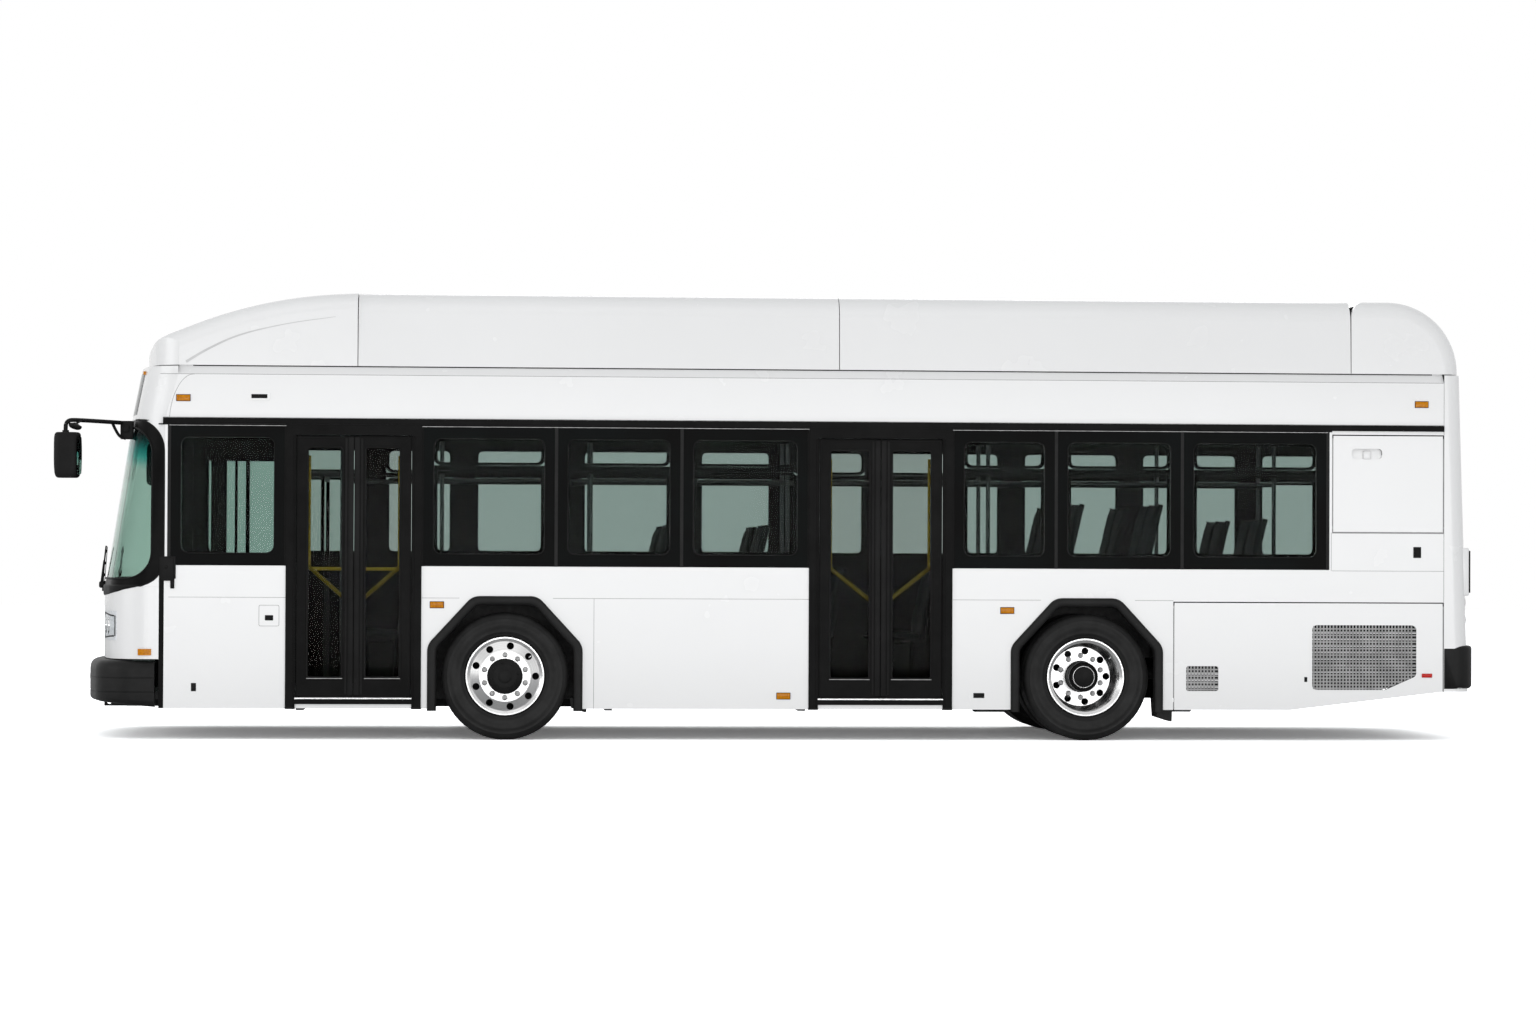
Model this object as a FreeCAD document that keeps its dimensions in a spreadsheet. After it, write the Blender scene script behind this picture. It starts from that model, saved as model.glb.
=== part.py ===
"""City bus, 11 m long, with two double-leaf doors on its left side.

The bus stands on its tyres and faces -X. +Z is up, and the doors are on the -Y side. The origin lies on
the ground, midway between the mirror tips and the rear bumper. Every length is in millimetres.
A station is a distance behind the front bumper's foremost point.
"""
import FreeCAD, Part
import Sketcher
import math
import os
from types import SimpleNamespace

V = FreeCAD.Vector

SIZES = {
    # whole vehicle
    "body_width": 2590, "mirror_reach": 175, "wall": 50, "joint_gap": 2, "panel_joint": 1,
    # heights, each above the one before it, from the floor to the top of the roof shroud
    "floor_drop": 139, "floor_to_skirt": 115, "tyre_headroom": 129, "arch_crest": 25, "waist": 255,
    "band_height": 1105, "frieze": 387, "cove": 63, "shroud_lift": 10, "shroud_height": 578,
    # lengths, each behind the one before it, from the bumper to the tail
    "mask_rear": 630, "seam_width": 39, "pillar_width": 35, "driver_pane": 905, "door_front_width": 1055,
    "door_to_arch": 47, "wheelbase": 4590, "arch_to_lid": 82, "side_lid_length": 2173, "rear_overhang": 260,
    "arch_to_door": 465, "door_rear_width": 1136, "header_step": 101,
    # axles and wheels
    "tyre_radius": 499, "tyre_width": 305, "tyre_shoulder": 27, "wheel_inset": 30, "rim_radius": 306,
    "rim_lip": 19, "rim_width": 210, "dual_spacing": 335, "hub_radius": 136, "hand_hole_radius": 28,
    "hand_hole_inset": 66, "rear_hole_inset": 101, "disc_web": 14,
    "spindle_radius": 42, "bearing_gap": 1, "kingpin_offset": 52,
    "kingpin_radius": 22, "steering_lock": 35,
    # wheel arches
    "arch_room": 108, "arch_flat_half": 255, "arch_slope": 382, "arch_trim": 68, "arch_trim_proud": 30,
    "arch_trim_drop": 20, "arch_round": 130, "housing_room": 141, "housing_rise": 63, "housing_wall": 20,
    "turn_clearance": 32, "dual_clearance": 35, "housing_drop": 130, "door_clearance": 14,
    # front end
    "mask_station": 112, "screen_dip": 167, "screen_rise": 38, "screen_lean": 206, "header_lean": 82,
    "shell": 45,
    "bow_half": 600, "bow_depth": 180, "bow_round": 3300, "corner_round": 330, "screen_rear": 572,
    "screen_margin": 62, "screen_round": 210, "glass": 8, "pane_recess": 2, "pane_bond": 1,
    "screen_recess": 4,
    "screen_divider": 14, "sign_half_width": 950, "sign_margin": 41, "sign_proud": 2,
    "headlamp_inner": 760, "headlamp_width": 420, "headlamp_height": 230, "headlamp_drop": 190,
    "headlamp_proud": 5,
    # rear end
    "rear_bumper_reach": 40, "rear_rise": 146, "rear_corner_round": 120, "skirt_rise_length": 1234,
    "tail_lean": 75,
    "rear_window_half": 900, "rear_window_height": 610, "rear_window_drop": 62, "tail_lamp_width": 110,
    "tail_lamp_inset": 145, "tail_lamp_height": 120, "tail_lamp_pitch": 140, "tail_lamp_proud": 10,
    # roof
    "roof_bevel": 60, "shroud_inset": 50, "shroud_lean": 25, "shroud_round": 170, "shroud_wall": 30,
    "shroud_gap": 6, "shroud_fore_length": 3782, "dome_foot": 400, "dome_knee_setback": 130,
    "dome_knee_rise": 187, "dome_crown_setback": 889, "dome_crown_drop": 40, "dome_flat": 739,
    "dome_knee_round": 640, "dome_crown_round": 3550, "dome_edge_round": 130, "rear_dome_round": 565,
    "tail_dome_length": 739, "tail_dome_inset": 116, "curb_inset": 25, "curb_width": 40,
    # window band
    "window_foot": 102, "window_head": 108, "window_margin": 95, "window_round": 60, "pane_gap": 12,
    "far_glass_end": 270, "near_glass_end": 34, "gutter_height": 50, "gutter_proud": 14,
    "transom_drop": 226, "transom_height": 40,
    # passenger doors
    "jamb": 75, "door_drop": 28, "door_header": 55, "sill_drop": 30, "sill_depth": 50, "jamb_drop": 5,
    "frame_proud": 10, "leaf_thickness": 36, "leaf_recess": 5, "leaf_gap": 8, "leaf_meeting_gap": 8,
    "leaf_stile": 84, "leaf_top_rail": 86, "leaf_bottom_rail": 148, "leaf_glass_recess": 6, "hinge_inset": 25,
    "hinge_depth": 12, "pivot_radius": 10, "pivot_gap": 1, "pivot_length": 20, "bar_radius": 16,
    "bar_standoff": 55, "bar_inset": 30, "bar_rise": 1025, "bar_fall": 295,
    # service lids
    "lid_thickness": 40, "lid_gap": 9, "lid_hinge_inset": 34, "lid_hinge_depth": 16, "lid_pin_length": 26,
    "lid_clearance": 15, "rear_hinge_depth": 93, "louvre_pitch": 48, "louvre_gap": 26, "louvre_margin": 30,
    "upper_lid_length": 901, "upper_lid_height": 781, "handle_length": 244, "handle_height": 80,
    "handle_depth": 22, "rear_lid_half_width": 780, "rear_lid_margin": 40, "rear_lid_head": 150,
    "hood_proud": 34, "hood_height": 345, "hood_drop": 95, "hood_half_width": 640,
    "grille_length": 838, "grille_inset": 221, "grille_foot": 15, "grille_drop": 182, "grille_round": 40,
    "grille_clip": 110, "grille_clip_length": 250, "grille_bar": 8, "grille_pitch": 52, "grille_recess": 8,
    "vent_length": 257, "vent_inset": 104, "vent_rise": 150, "vent_height": 197,
    # floor and underframe
    "floor_thickness": 60, "step_lead": 778, "deck_rise": 410, "bench_depth": 1110, "bench_rise": 360,
    "cab_floor_station": 300, "cab_floor_half": 900,
    "rail_clearance": 110, "rail_width": 80, "rail_height": 70,
    "cross_width": 60, "rail_end": 60,
    # axles
    "beam_drop": 364, "beam_height": 80, "beam_half_depth": 45, "axle_tube_radius": 75,
    "final_drive_radius": 165,
    "final_drive_half": 110, "shaft_radius": 50, "fist_length": 170, "beam_post_width": 55,
    "fist_half_height": 44, "eye_radius": 38, "fork_gap": 8, "fork_plate": 30, "fork_web": 25, "web_gap": 12,
    "spindle_reach": 124, "rear_tube_inset": 322.5, "rear_spindle_inset": 4, "rear_spindle_radius": 60,
    "engine_side_gap": 10, "engine_lift": 30, "engine_clearance": 20,
    "tow_station": 120, "tow_eye_inset": 40, "tow_bore": 20, "tow_plate": 25,
    # bumpers
    "bumper_lift": 40, "bumper_height": 340, "bumper_rear": 600, "bumper_brow": 70, "bumper_brow_lean": 45,
    "bumper_wall": 60, "bumper_deck": 28, "bumper_well": 65, "rack_rise": 185, "rack_half": 450,
    "rack_hole": 9,
    "rear_bumper_lift": 24, "rear_bumper_height": 345, "rear_bumper_skin": 12, "rear_bumper_round": 150,
    # cabin
    "seat_width": 880, "seat_depth": 430, "seat_height": 450, "back_height": 980, "seat_pad": 70,
    "back_lean": 120, "seat_leg": 120, "seat_lift": 340, "pole_radius": 17, "seat_to_pole": 3,
    "seat_gap_to_wall": 25,
    "rail_drop": 812, "driver_inset": 545, "steering_wheel_radius": 225, "steering_rim_radius": 15,
    "column_radius": 30, "spoke_radius": 12, "partition": 30, "partition_post": 40,
    # lamps
    "lamp_length": 110, "lamp_height": 52, "lamp_proud": 12,
    # mirrors and wipers
    "mirror_arm_radius": 17, "mirror_out": 90, "mirror_width": 175, "mirror_depth": 200, "mirror_height": 355,
    "mirror_setback": 107, "mirror_drop": 77, "mirror_arm_rise": 95, "mirror_round": 40,
    "far_mirror_station": 350,
    "spot_mirror_radius": 50, "spot_mirror_offset": 52, "mirror_bend": 40, "mirror_plate": 26,
    "mirror_plate_station": 285, "mirror_plate_length": 130, "mirror_plate_drop": 150, "mirror_plate_y": 930,
    "mirror_stay_run": 70, "wiper_radius": 11, "wiper_rise": 320,
}


class Dim:
    """A length: its value, and its text in terms of the sheet's cells."""

    def __init__(self, value, text):
        self.value = float(value)
        self.text = text

    def join(self, other, sign, value):
        return Dim(value, f"({self.text} {sign} {other.text})")

    def __add__(self, other):
        other = dim(other)
        return self.join(other, "+", self.value + other.value)

    def __radd__(self, other):
        return dim(other) + self

    def __sub__(self, other):
        other = dim(other)
        return self.join(other, "-", self.value - other.value)

    def __rsub__(self, other):
        return dim(other) - self

    def __mul__(self, factor):
        factor = dim(factor)
        return self.join(factor, "*", self.value * factor.value)

    def __rmul__(self, factor):
        return dim(factor) * self

    def __truediv__(self, divisor):
        divisor = dim(divisor)
        return self.join(divisor, "/", self.value / divisor.value)

    def __neg__(self):
        return dim(0) - self


def dim(x):
    return x if isinstance(x, Dim) else Dim(x, repr(float(x)))


doc = FreeCAD.newDocument("CityBus")
sheet = doc.addObject("Spreadsheet::Sheet", "Sizes")
for row, (word, number) in enumerate(SIZES.items(), start=1):
    sheet.set(f"A{row}", str(number))
    sheet.setAlias(f"A{row}", word)
doc.recompute()
D = SimpleNamespace(**{word: Dim(number, f"Sizes.{word}") for word, number in SIZES.items()})
NODES = {}

# ---------------------------------------------------------------- driving places

half_width = D.body_width / 2
axle_height = D.tyre_radius
inside = half_width - D.wall
wheel_centre = half_width - D.wheel_inset - D.tyre_width / 2
kingpin = wheel_centre - D.kingpin_offset

# Heights above the ground.
D.floor_top = axle_height - D.floor_drop
D.skirt_height = D.floor_top - D.floor_to_skirt
D.arch_top = D.tyre_radius * 2 + D.tyre_headroom
D.panel_line = D.arch_top - D.arch_crest
D.band_bottom = D.panel_line + D.waist
D.band_top = D.band_bottom + D.band_height
D.cantrail_height = D.band_top + D.frieze
D.roof_top = D.cantrail_height + D.cove
D.shroud_base = D.roof_top + D.shroud_lift
D.roof_height = D.shroud_base + D.shroud_height
D.window_bottom = D.band_bottom + D.window_foot
D.window_top = D.band_top - D.window_head
D.door_top = D.band_top - D.door_drop - D.door_header
D.door_sill = D.floor_top - D.sill_drop
D.deck_top = D.floor_top + D.deck_rise
D.bench_top = D.deck_top + D.bench_rise
D.housing_top = D.arch_top + D.housing_rise
D.bumper_bottom = D.skirt_height + D.bumper_lift
D.bumper_top = D.bumper_bottom + D.bumper_height
D.mask_bottom = D.bumper_top + D.joint_gap
D.mask_top = D.band_bottom - D.screen_dip
D.screen_top = D.band_top + D.screen_rise
D.rear_cap_bottom = D.skirt_height + D.rear_rise
D.rear_bumper_bottom = D.rear_cap_bottom + D.rear_bumper_lift
D.rear_bumper_top = D.rear_bumper_bottom + D.rear_bumper_height
D.rear_window_top = D.band_top - D.rear_window_drop
D.rear_window_bottom = D.rear_window_top - D.rear_window_height
D.rear_lid_bottom = D.rear_bumper_top + D.rear_lid_margin
D.rear_lid_top = D.rear_window_bottom - D.rear_lid_head
D.upper_lid_top = D.band_top - D.door_drop
D.upper_lid_bottom = D.upper_lid_top - D.upper_lid_height
D.mirror_high = D.band_top - D.mirror_drop
D.mirror_arm_height = D.mirror_high + D.mirror_arm_rise

# Stations behind the bumper's foremost point.
D.arch_half_width = D.tyre_radius + D.arch_room
D.housing_half_length = D.tyre_radius + D.housing_room
D.pillar_station = D.mask_rear + D.seam_width
D.header_rear = D.pillar_station + D.header_step
D.band_station = D.pillar_station + D.pillar_width
D.door_front_station = D.band_station + D.driver_pane
D.front_door_end = D.door_front_station + D.door_front_width
D.front_axle_station = D.front_door_end + D.door_to_arch + D.arch_half_width
D.rear_axle_station = D.front_axle_station + D.wheelbase
D.rear_door_end = D.rear_axle_station - D.arch_half_width - D.arch_to_door
D.door_rear_station = D.rear_door_end - D.door_rear_width
D.side_lid_station = D.rear_axle_station + D.arch_half_width + D.arch_to_lid
D.rear_seam_station = D.side_lid_station + D.side_lid_length
D.body_length = D.rear_seam_station + D.rear_overhang
D.upper_lid_station = D.rear_seam_station - D.upper_lid_length
D.skirt_rise_station = D.rear_seam_station - D.skirt_rise_length
D.step_station = D.rear_axle_station - D.step_lead
D.bench_station = D.rear_seam_station - D.bench_depth
D.dome_knee_station = D.dome_foot + D.dome_knee_setback
D.dome_crown_station = D.dome_knee_station + D.dome_crown_setback
D.split_front = D.dome_crown_station + D.dome_flat
D.split_middle = D.split_front + D.shroud_fore_length
D.split_rear = D.rear_seam_station - D.tail_dome_length
D.tail_station = D.body_length - D.tail_dome_inset
D.rear_hinge_station = D.body_length - D.rear_hinge_depth

front = (D.mirror_reach - D.body_length) / 2


def at(station):
    return front + station


rear_seam = at(D.rear_seam_station)
front_axle = at(D.front_axle_station)
rear_axle = at(D.rear_axle_station)
lock = math.radians(SIZES["steering_lock"])
turned_reach = D.tyre_radius * math.sin(lock) + (D.tyre_width / 2 - D.kingpin_offset) * math.cos(lock)
front_housing_reach = kingpin - turned_reach - D.turn_clearance
rear_housing_reach = wheel_centre - D.dual_spacing - D.tyre_width / 2 - D.dual_clearance

# Distances out from the middle.
D.rail_inner = rear_housing_reach - D.housing_wall - D.rail_clearance - D.rail_width
D.tow_offset = D.rail_inner + D.rail_width / 2
D.engine_half = D.rail_inner - D.engine_side_gap
D.rear_tube_reach = wheel_centre - D.rear_tube_inset
D.driver_y = inside - D.driver_inset
D.aisle_half = inside - D.seat_gap_to_wall - D.seat_width - D.seat_to_pole - D.pole_radius
bead_radius = D.rim_radius - D.rim_lip
shroud_side = half_width - D.shroud_inset


# ---------------------------------------------------------------- ways of making shapes

def keep(node, thing):
    """Names a finished sub-part."""
    thing.Label = node
    NODES[node] = thing
    return thing


def bind(thing, **places):
    for prop, length in places.items():
        thing.setExpression(prop.replace("__", "."), dim(length).text)


def box(name, x0, x1, y0, y1, z0, z1):
    made = doc.addObject("Part::Box", name)
    x0, x1, y0, y1, z0, z1 = (dim(v) for v in (x0, x1, y0, y1, z0, z1))
    bind(made, Length=x1 - x0, Width=y1 - y0, Height=z1 - z0,
         Placement__Base__x=x0, Placement__Base__y=y0, Placement__Base__z=z0)
    return made


TURNS = {"X": FreeCAD.Rotation(V(0, 1, 0), 90), "Y": FreeCAD.Rotation(V(1, 0, 0), -90),
         "Z": FreeCAD.Rotation()}


def rod(name, axis, place, radius, length):
    """A cylinder that starts at a place and runs along +X, +Y or +Z."""
    made = doc.addObject("Part::Cylinder", name)
    made.Placement.Rotation = TURNS[axis]
    x, y, z = place
    bind(made, Radius=radius, Height=length, Placement__Base__x=x, Placement__Base__y=y, Placement__Base__z=z)
    return made


def ball(name, place, radius):
    made = doc.addObject("Part::Sphere", name)
    x, y, z = place
    bind(made, Radius=radius, Placement__Base__x=x, Placement__Base__y=y, Placement__Base__z=z)
    return made


def fuse(name, *things):
    made = doc.addObject("Part::MultiFuse", name)
    made.Shapes = list(things)
    return made


def common(name, *things):
    made = doc.addObject("Part::MultiCommon", name)
    made.Shapes = list(things)
    return made


def cut(name, base, *tools):
    made = doc.addObject("Part::Cut", name)
    made.Base = base
    made.Tool = tools[0] if len(tools) == 1 else fuse(name + "_tools", *tools)
    return made


def group(name, *things):
    """Solids that don't touch, kept as one sub-part."""
    made = doc.addObject("Part::Compound", name)
    made.Links = list(things)
    return made


def mirrored(name, thing):
    made = doc.addObject("Part::Mirroring", name)
    made.Source = thing
    made.Normal = V(0, 1, 0)
    return made


def both_sides(things):
    return [t for thing in things for t in (thing, mirrored(thing.Name + "_far", thing))]


def strut(name, radius, *points):
    """Straight rods through a row of points, with a ball at each bend."""
    run = []
    for i, (a, b) in enumerate(zip(points, points[1:])):
        start, end = V(*(dim(v).value for v in a)), V(*(dim(v).value for v in b))
        made = doc.addObject("Part::Cylinder", f"{name}_run{i}")
        made.Placement.Rotation = FreeCAD.Rotation(V(0, 0, 1), end - start)
        made.Height = (end - start).Length
        bind(made, Radius=radius, Placement__Base__x=a[0], Placement__Base__y=a[1], Placement__Base__z=a[2])
        run.append(made)
        if i:
            run.append(ball(f"{name}_bend{i}", a, radius))
    return fuse(name, *run) if len(run) > 1 else run[0]


class Sketch:
    """Closed loops of lines, with a round at each corner that asks for one, tied to the sheet's cells."""

    def __init__(self, body, name, plane, offset, loops):
        self.made = body.newObject("Sketcher::SketchObject", name)
        self.made.AttachmentSupport = [(origin_feature(body, plane), "")]
        self.made.MapMode = "FlatFace"
        self.made.setExpression("AttachmentOffset.Base.z", offset.text)
        self.rules = []
        for loop in loops:
            if isinstance(loop, Circle):
                self.circle(loop)
            else:
                self.outline(loop)
        self.made.addConstraint([rule for rule, _ in self.rules])
        for index, (_, length) in enumerate(self.rules):
            if length:
                self.made.setExpression(f"Constraints[{index}]", length.text)

    def rule(self, *parts, length=None):
        values = [length.value] if length else []
        self.rules.append((Sketcher.Constraint(*parts, *values), length))

    def hold(self, geo, end, u, v):
        """Ties a point to a place, by its two distances from the sketch's origin."""
        self.rule("DistanceX", -1, 1, geo, end, length=u)
        self.rule("DistanceY", -1, 1, geo, end, length=v)

    def circle(self, loop):
        middle = V(loop.u.value, loop.v.value)
        geo = self.made.addGeometry(Part.Circle(middle, V(0, 0, 1), loop.radius.value), False)
        self.hold(geo, 3, loop.u, loop.v)
        self.rule("Radius", geo, length=loop.radius)

    def outline(self, corners):
        corners = [tuple(dim(v) for v in c) for c in corners]
        points = [V(c[0].value, c[1].value) for c in corners]
        rounds = [self.corner_round(points, i, c) for i, c in enumerate(fitted(points, corners))]
        lines = []
        for i, (start, following) in enumerate(zip(rounds, rounds[1:] + rounds[:1])):
            line = Part.LineSegment(start["out_point"], following["in_point"])
            lines.append(self.made.addGeometry(line, False))
        for i, (corner, turn) in enumerate(zip(corners, rounds)):
            before, after = lines[i - 1], lines[i]
            if turn["radius"]:
                self.round_off(points[i], corner, turn, before, after)
            else:
                self.rule("Coincident", before, 2, after, 1)
                self.hold(after, 1, corner[0], corner[1])

    @staticmethod
    def corner_round(points, i, corner):
        """Where a corner's round starts, peaks and ends."""
        here = points[i]
        into = (here - points[i - 1]).normalize()
        out = (points[(i + 1) % len(points)] - here).normalize()
        radius = corner[2].value if len(corner) > 2 else 0
        half_turn = half_turn_at(points, i)
        trim = radius * math.tan(half_turn)
        inward = (out - into).normalize() if radius else V()
        peak = here + inward * (radius / math.cos(half_turn) - radius)
        return {"in_point": here - into * trim, "out_point": here + out * trim, "peak": peak,
                "radius": radius, "length": corner[2] if radius else None, "left": into.cross(out).z > 0}

    def round_off(self, point, corner, turn, before, after):
        arc = Part.Arc(turn["in_point"], turn["peak"], turn["out_point"])
        geo = self.made.addGeometry(arc, False)
        first, last = (1, 2) if turn["left"] else (2, 1)
        self.rule("Tangent", before, 2, geo, first)
        self.rule("Tangent", after, 1, geo, last)
        mark = self.made.addGeometry(Part.Point(point), True)
        self.hold(mark, 1, corner[0], corner[1])
        self.rule("PointOnObject", mark, 1, before)
        self.rule("PointOnObject", mark, 1, after)
        self.rule("Radius", geo, length=turn["length"])


def half_turn_at(points, i):
    """Half the angle by which an outline turns at a corner."""
    into = (points[i] - points[i - 1]).normalize()
    out = (points[(i + 1) % len(points)] - points[i]).normalize()
    return math.acos(max(-1, min(1, into.dot(out)))) / 2


def fitted(points, corners):
    """The corners with each round made small enough for the lines beside it."""
    trims = [c[2].value * math.tan(half_turn_at(points, i)) if len(c) > 2 else 0
             for i, c in enumerate(corners)]
    shares = [1.0] * len(corners)
    for i in range(len(corners)):
        j = (i + 1) % len(corners)
        room = (points[j] - points[i]).Length * LINE_SHARE
        if trims[i] + trims[j] > room:
            share = room / (trims[i] + trims[j])
            shares[i], shares[j] = min(shares[i], share), min(shares[j], share)
    return [c if len(c) < 3 or share == 1 else (c[0], c[1], c[2] * share)
            for c, share in zip(corners, shares)]


LINE_SHARE = 0.99   # the most of a line that the rounds at its two ends take up


class Circle:
    def __init__(self, u, v, radius):
        self.u, self.v, self.radius = dim(u), dim(v), dim(radius)


def origin_feature(body, role):
    return next(f for f in body.Origin.OriginFeatures if f.Role == role)


def rectangle(u0, u1, v0, v1, *radius):
    return [(u0, v0, *radius), (u1, v0, *radius), (u1, v1, *radius), (u0, v1, *radius)]


# Each view's sketch plane, and whether the sketch's own normal points along the positive axis.
VIEWS = {"side": ("XZ_Plane", False), "plan": ("XY_Plane", True), "end": ("YZ_Plane", True)}


def offset_and_length(view, low, high):
    low, high = dim(low), dim(high)
    along = VIEWS[view][1]
    return (low if along else -high), high - low


def pad(name, view, low, high, *loops):
    """A body padded between two places along the view's own axis: Y for side, Z for plan and X for end."""
    body = doc.addObject("PartDesign::Body", name)
    offset, length = offset_and_length(view, low, high)
    sketch = Sketch(body, name + "_outline", VIEWS[view][0], offset, loops)
    made = body.newObject("PartDesign::Pad", name + "_pad")
    made.Profile = sketch.made
    made.setExpression("Length", length.text)
    sketch.made.Visibility = False
    return body


def pocket(body, name, view, low, high, *loops):
    offset, length = offset_and_length(view, low, high)
    sketch = Sketch(body, name + "_outline", VIEWS[view][0], offset, loops)
    made = body.newObject("PartDesign::Pocket", name)
    made.Profile = sketch.made
    made.Reversed = True
    made.setExpression("Length", length.text)
    return made


def turned(name, outline):
    """A body turned about the Y axis from an outline of radius and place along Y."""
    body = doc.addObject("PartDesign::Body", name)
    sketch = Sketch(body, name + "_outline", "XY_Plane", dim(0), [outline])
    made = body.newObject("PartDesign::Revolution", name + "_turn")
    made.Profile = sketch.made
    made.ReferenceAxis = (sketch.made, ["V_Axis"])
    made.Angle = 360
    return body


def place(thing, x, y, z):
    bind(thing, Placement__Base__x=x, Placement__Base__y=y, Placement__Base__z=z)
    return thing


# ---------------------------------------------------------------- front shell, one bowed outline at every height

BEYOND = 400   # how far cutting shapes run past what they cut

# How far the bow's corners slide along their lines as the outline is set in, per unit of inset.
bow_turn = math.atan2(SIZES["bow_depth"], half_width.value - SIZES["bow_half"])
BOW_SHARE = math.tan(bow_turn / 2)
CORNER_SHARE = 1 - math.tan(math.pi / 4 - bow_turn / 2)


def bowed_outline(station, inset, rear):
    """The plan of the front end: a shallow bow with rounded corners, set in from the skin by an inset."""
    nose = at(station) + inset
    side = half_width - inset
    shoulder = nose + D.bow_depth - inset * CORNER_SHARE
    bow = D.bow_half - inset * BOW_SHARE
    return [
        (rear, -side), (shoulder, -side, D.corner_round - inset),
        (nose, -bow, D.bow_round - inset), (nose, bow, D.bow_round - inset),
        (shoulder, side, D.corner_round - inset), (rear, side),
    ]


def leaning_block(name, station, lean, low, high, inset):
    """The bowed outline raised from one height to another, leaning back as it rises."""
    low, high, lean = dim(low), dim(high), dim(lean)
    body = pad(name, "plan", low, high, bowed_outline(station, dim(inset), at(D.header_rear) + BEYOND))
    raised = body.Tip
    raised.UseCustomVector = True
    raised.AlongSketchNormal = True
    raised.Direction = V(lean.value, 0, (high - low).value)
    raised.setExpression("Direction.x", lean.text)
    raised.setExpression("Direction.z", (high - low).text)
    return body


def leaning_shell(name, station, lean, low, high, outer, inner):
    """A wall that follows the bowed front between two insets."""
    return cut(name,
               leaning_block(name + "_out", station, lean, low, high, outer),
               leaning_block(name + "_in", station, lean, low, high, inner))


def across(name, *corners):
    """A side-view region, run right across the bus."""
    return pad(name, "side", -half_width - BEYOND, half_width + BEYOND, list(corners))


def front_end():
    far_front = at(-BEYOND)
    beside = half_width + BEYOND
    screen = (D.mask_station, D.screen_lean, D.mask_top, D.screen_top)
    header = (D.mask_station + D.screen_lean, D.header_lean, D.screen_top, D.roof_top)
    mask = (D.mask_station, 0, D.mask_bottom, D.mask_top)

    low, high = D.mask_top + D.screen_margin, D.screen_top - D.screen_margin
    screen_region = (
        (far_front, low), (at(D.screen_rear), low, D.screen_round), (at(D.screen_rear), high, D.screen_round),
        (far_front, high))
    surround = common("surround_trimmed", leaning_shell("surround_wall", *screen, 0, D.shell),
                      box("surround_keep", far_front, at(D.pillar_station) - D.joint_gap, -beside, beside,
                          D.mask_top, D.screen_top))
    strip = box("strip_near", at(D.mask_rear), at(D.pillar_station) - D.joint_gap,
                -half_width + D.screen_recess,
                -inside, D.skirt_height, D.mask_top + D.screen_margin / 2)
    framed = cut("surround_open", surround, across("screen_hole", *screen_region))
    keep("windscreen_surround", fuse("surround_whole", framed, *both_sides([strip])))

    pane = leaning_shell("pane_wall", *screen, D.screen_recess, D.glass + D.screen_recess)
    pane = common("pane_whole", pane, across("pane_region", *screen_region))
    pane = cut("pane_split", pane, box("pane_divider", far_front, at(D.screen_rear),
                                       -D.screen_divider / 2, D.screen_divider / 2, D.mask_top, D.screen_top))

    region = across("header_region", (far_front, D.screen_top), (at(D.pillar_station), D.screen_top),
                    (at(D.header_rear), D.cantrail_height), (at(D.header_rear), D.roof_top),
                    (far_front, D.roof_top))
    sign = common("sign_glass", leaning_shell("sign_wall", *header, -D.sign_proud, D.glass),
                  box("sign_region", far_front, at(D.pillar_station), -D.sign_half_width, D.sign_half_width,
                      D.screen_top + D.sign_margin, D.roof_top - D.sign_margin))
    lid = common("header_roof_trimmed",
                 leaning_block("header_roof", D.mask_station + D.screen_lean + D.header_lean, 0,
                               D.roof_top - D.shell, D.roof_top, D.shell * 2 / 3),
                 box("header_roof_keep", far_front, at(D.header_rear), -half_width, half_width,
                     D.roof_top - D.shell, D.roof_top))
    shell = fuse("header_shell", common("header_trimmed", leaning_shell("header_wall", *header, 0, D.shell),
                                        region),
                 lid)
    keep("front_header", cut("header_open", shell, sign))
    keep("front_glass", group("front_glass_panes", pane, sign))

    lamp_top = D.mask_top - D.headlamp_drop
    lamp = common("headlamp_near",
                  leaning_shell("lamp_wall", *mask, -D.headlamp_proud, D.shell - D.headlamp_proud),
                  box("lamp_region", far_front, at(D.mask_rear), -D.headlamp_inner - D.headlamp_width,
                      -D.headlamp_inner, lamp_top - D.headlamp_height, lamp_top))
    lamp_pair = group("headlamp_pair", lamp, mirrored("headlamp_far", lamp))
    panel = common("mask_trimmed", leaning_shell("mask_wall", *mask, 0, D.shell),
                   box("mask_keep", far_front, at(D.mask_rear), -beside, beside, D.mask_bottom, D.mask_top))
    keep("front_mask", cut("mask_open", panel, lamp_pair))
    keep("headlamps", lamp_pair)


# ---------------------------------------------------------------- walls and their glass

# Each passenger doorway: its name, station and width.
DOORS = (("front", D.door_front_station, D.door_front_width),
         ("rear", D.door_rear_station, D.door_rear_width))

# Relative pane widths between the doors, behind the rear door and along the side that has no doors.
MIDDLE_PANES = (1049, 984, 1003)
REAR_PANES = (824, 1006, 1169)
FAR_ROW = (776, 720, 754, 906, 1000, 812, 798, 1172, 1025, 1039, 794)


def pane_row(start, end, widths):
    """Where each pane begins and ends when a row of relative widths fills a run of stations."""
    edges = [start + (end - start) * (sum(widths[:i]) / sum(widths)) for i in range(len(widths) + 1)]
    return list(zip(edges, edges[1:]))


NEAR_PANES = [
    (D.band_station, D.door_front_station),
    *pane_row(D.front_door_end, D.door_rear_station, MIDDLE_PANES),
    *pane_row(D.rear_door_end, D.upper_lid_station - D.near_glass_end, REAR_PANES)]
FAR_PANES = pane_row(D.band_station, D.rear_seam_station - D.far_glass_end, FAR_ROW)
SIDES = (("left", -1, NEAR_PANES), ("right", 1, FAR_PANES))


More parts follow.
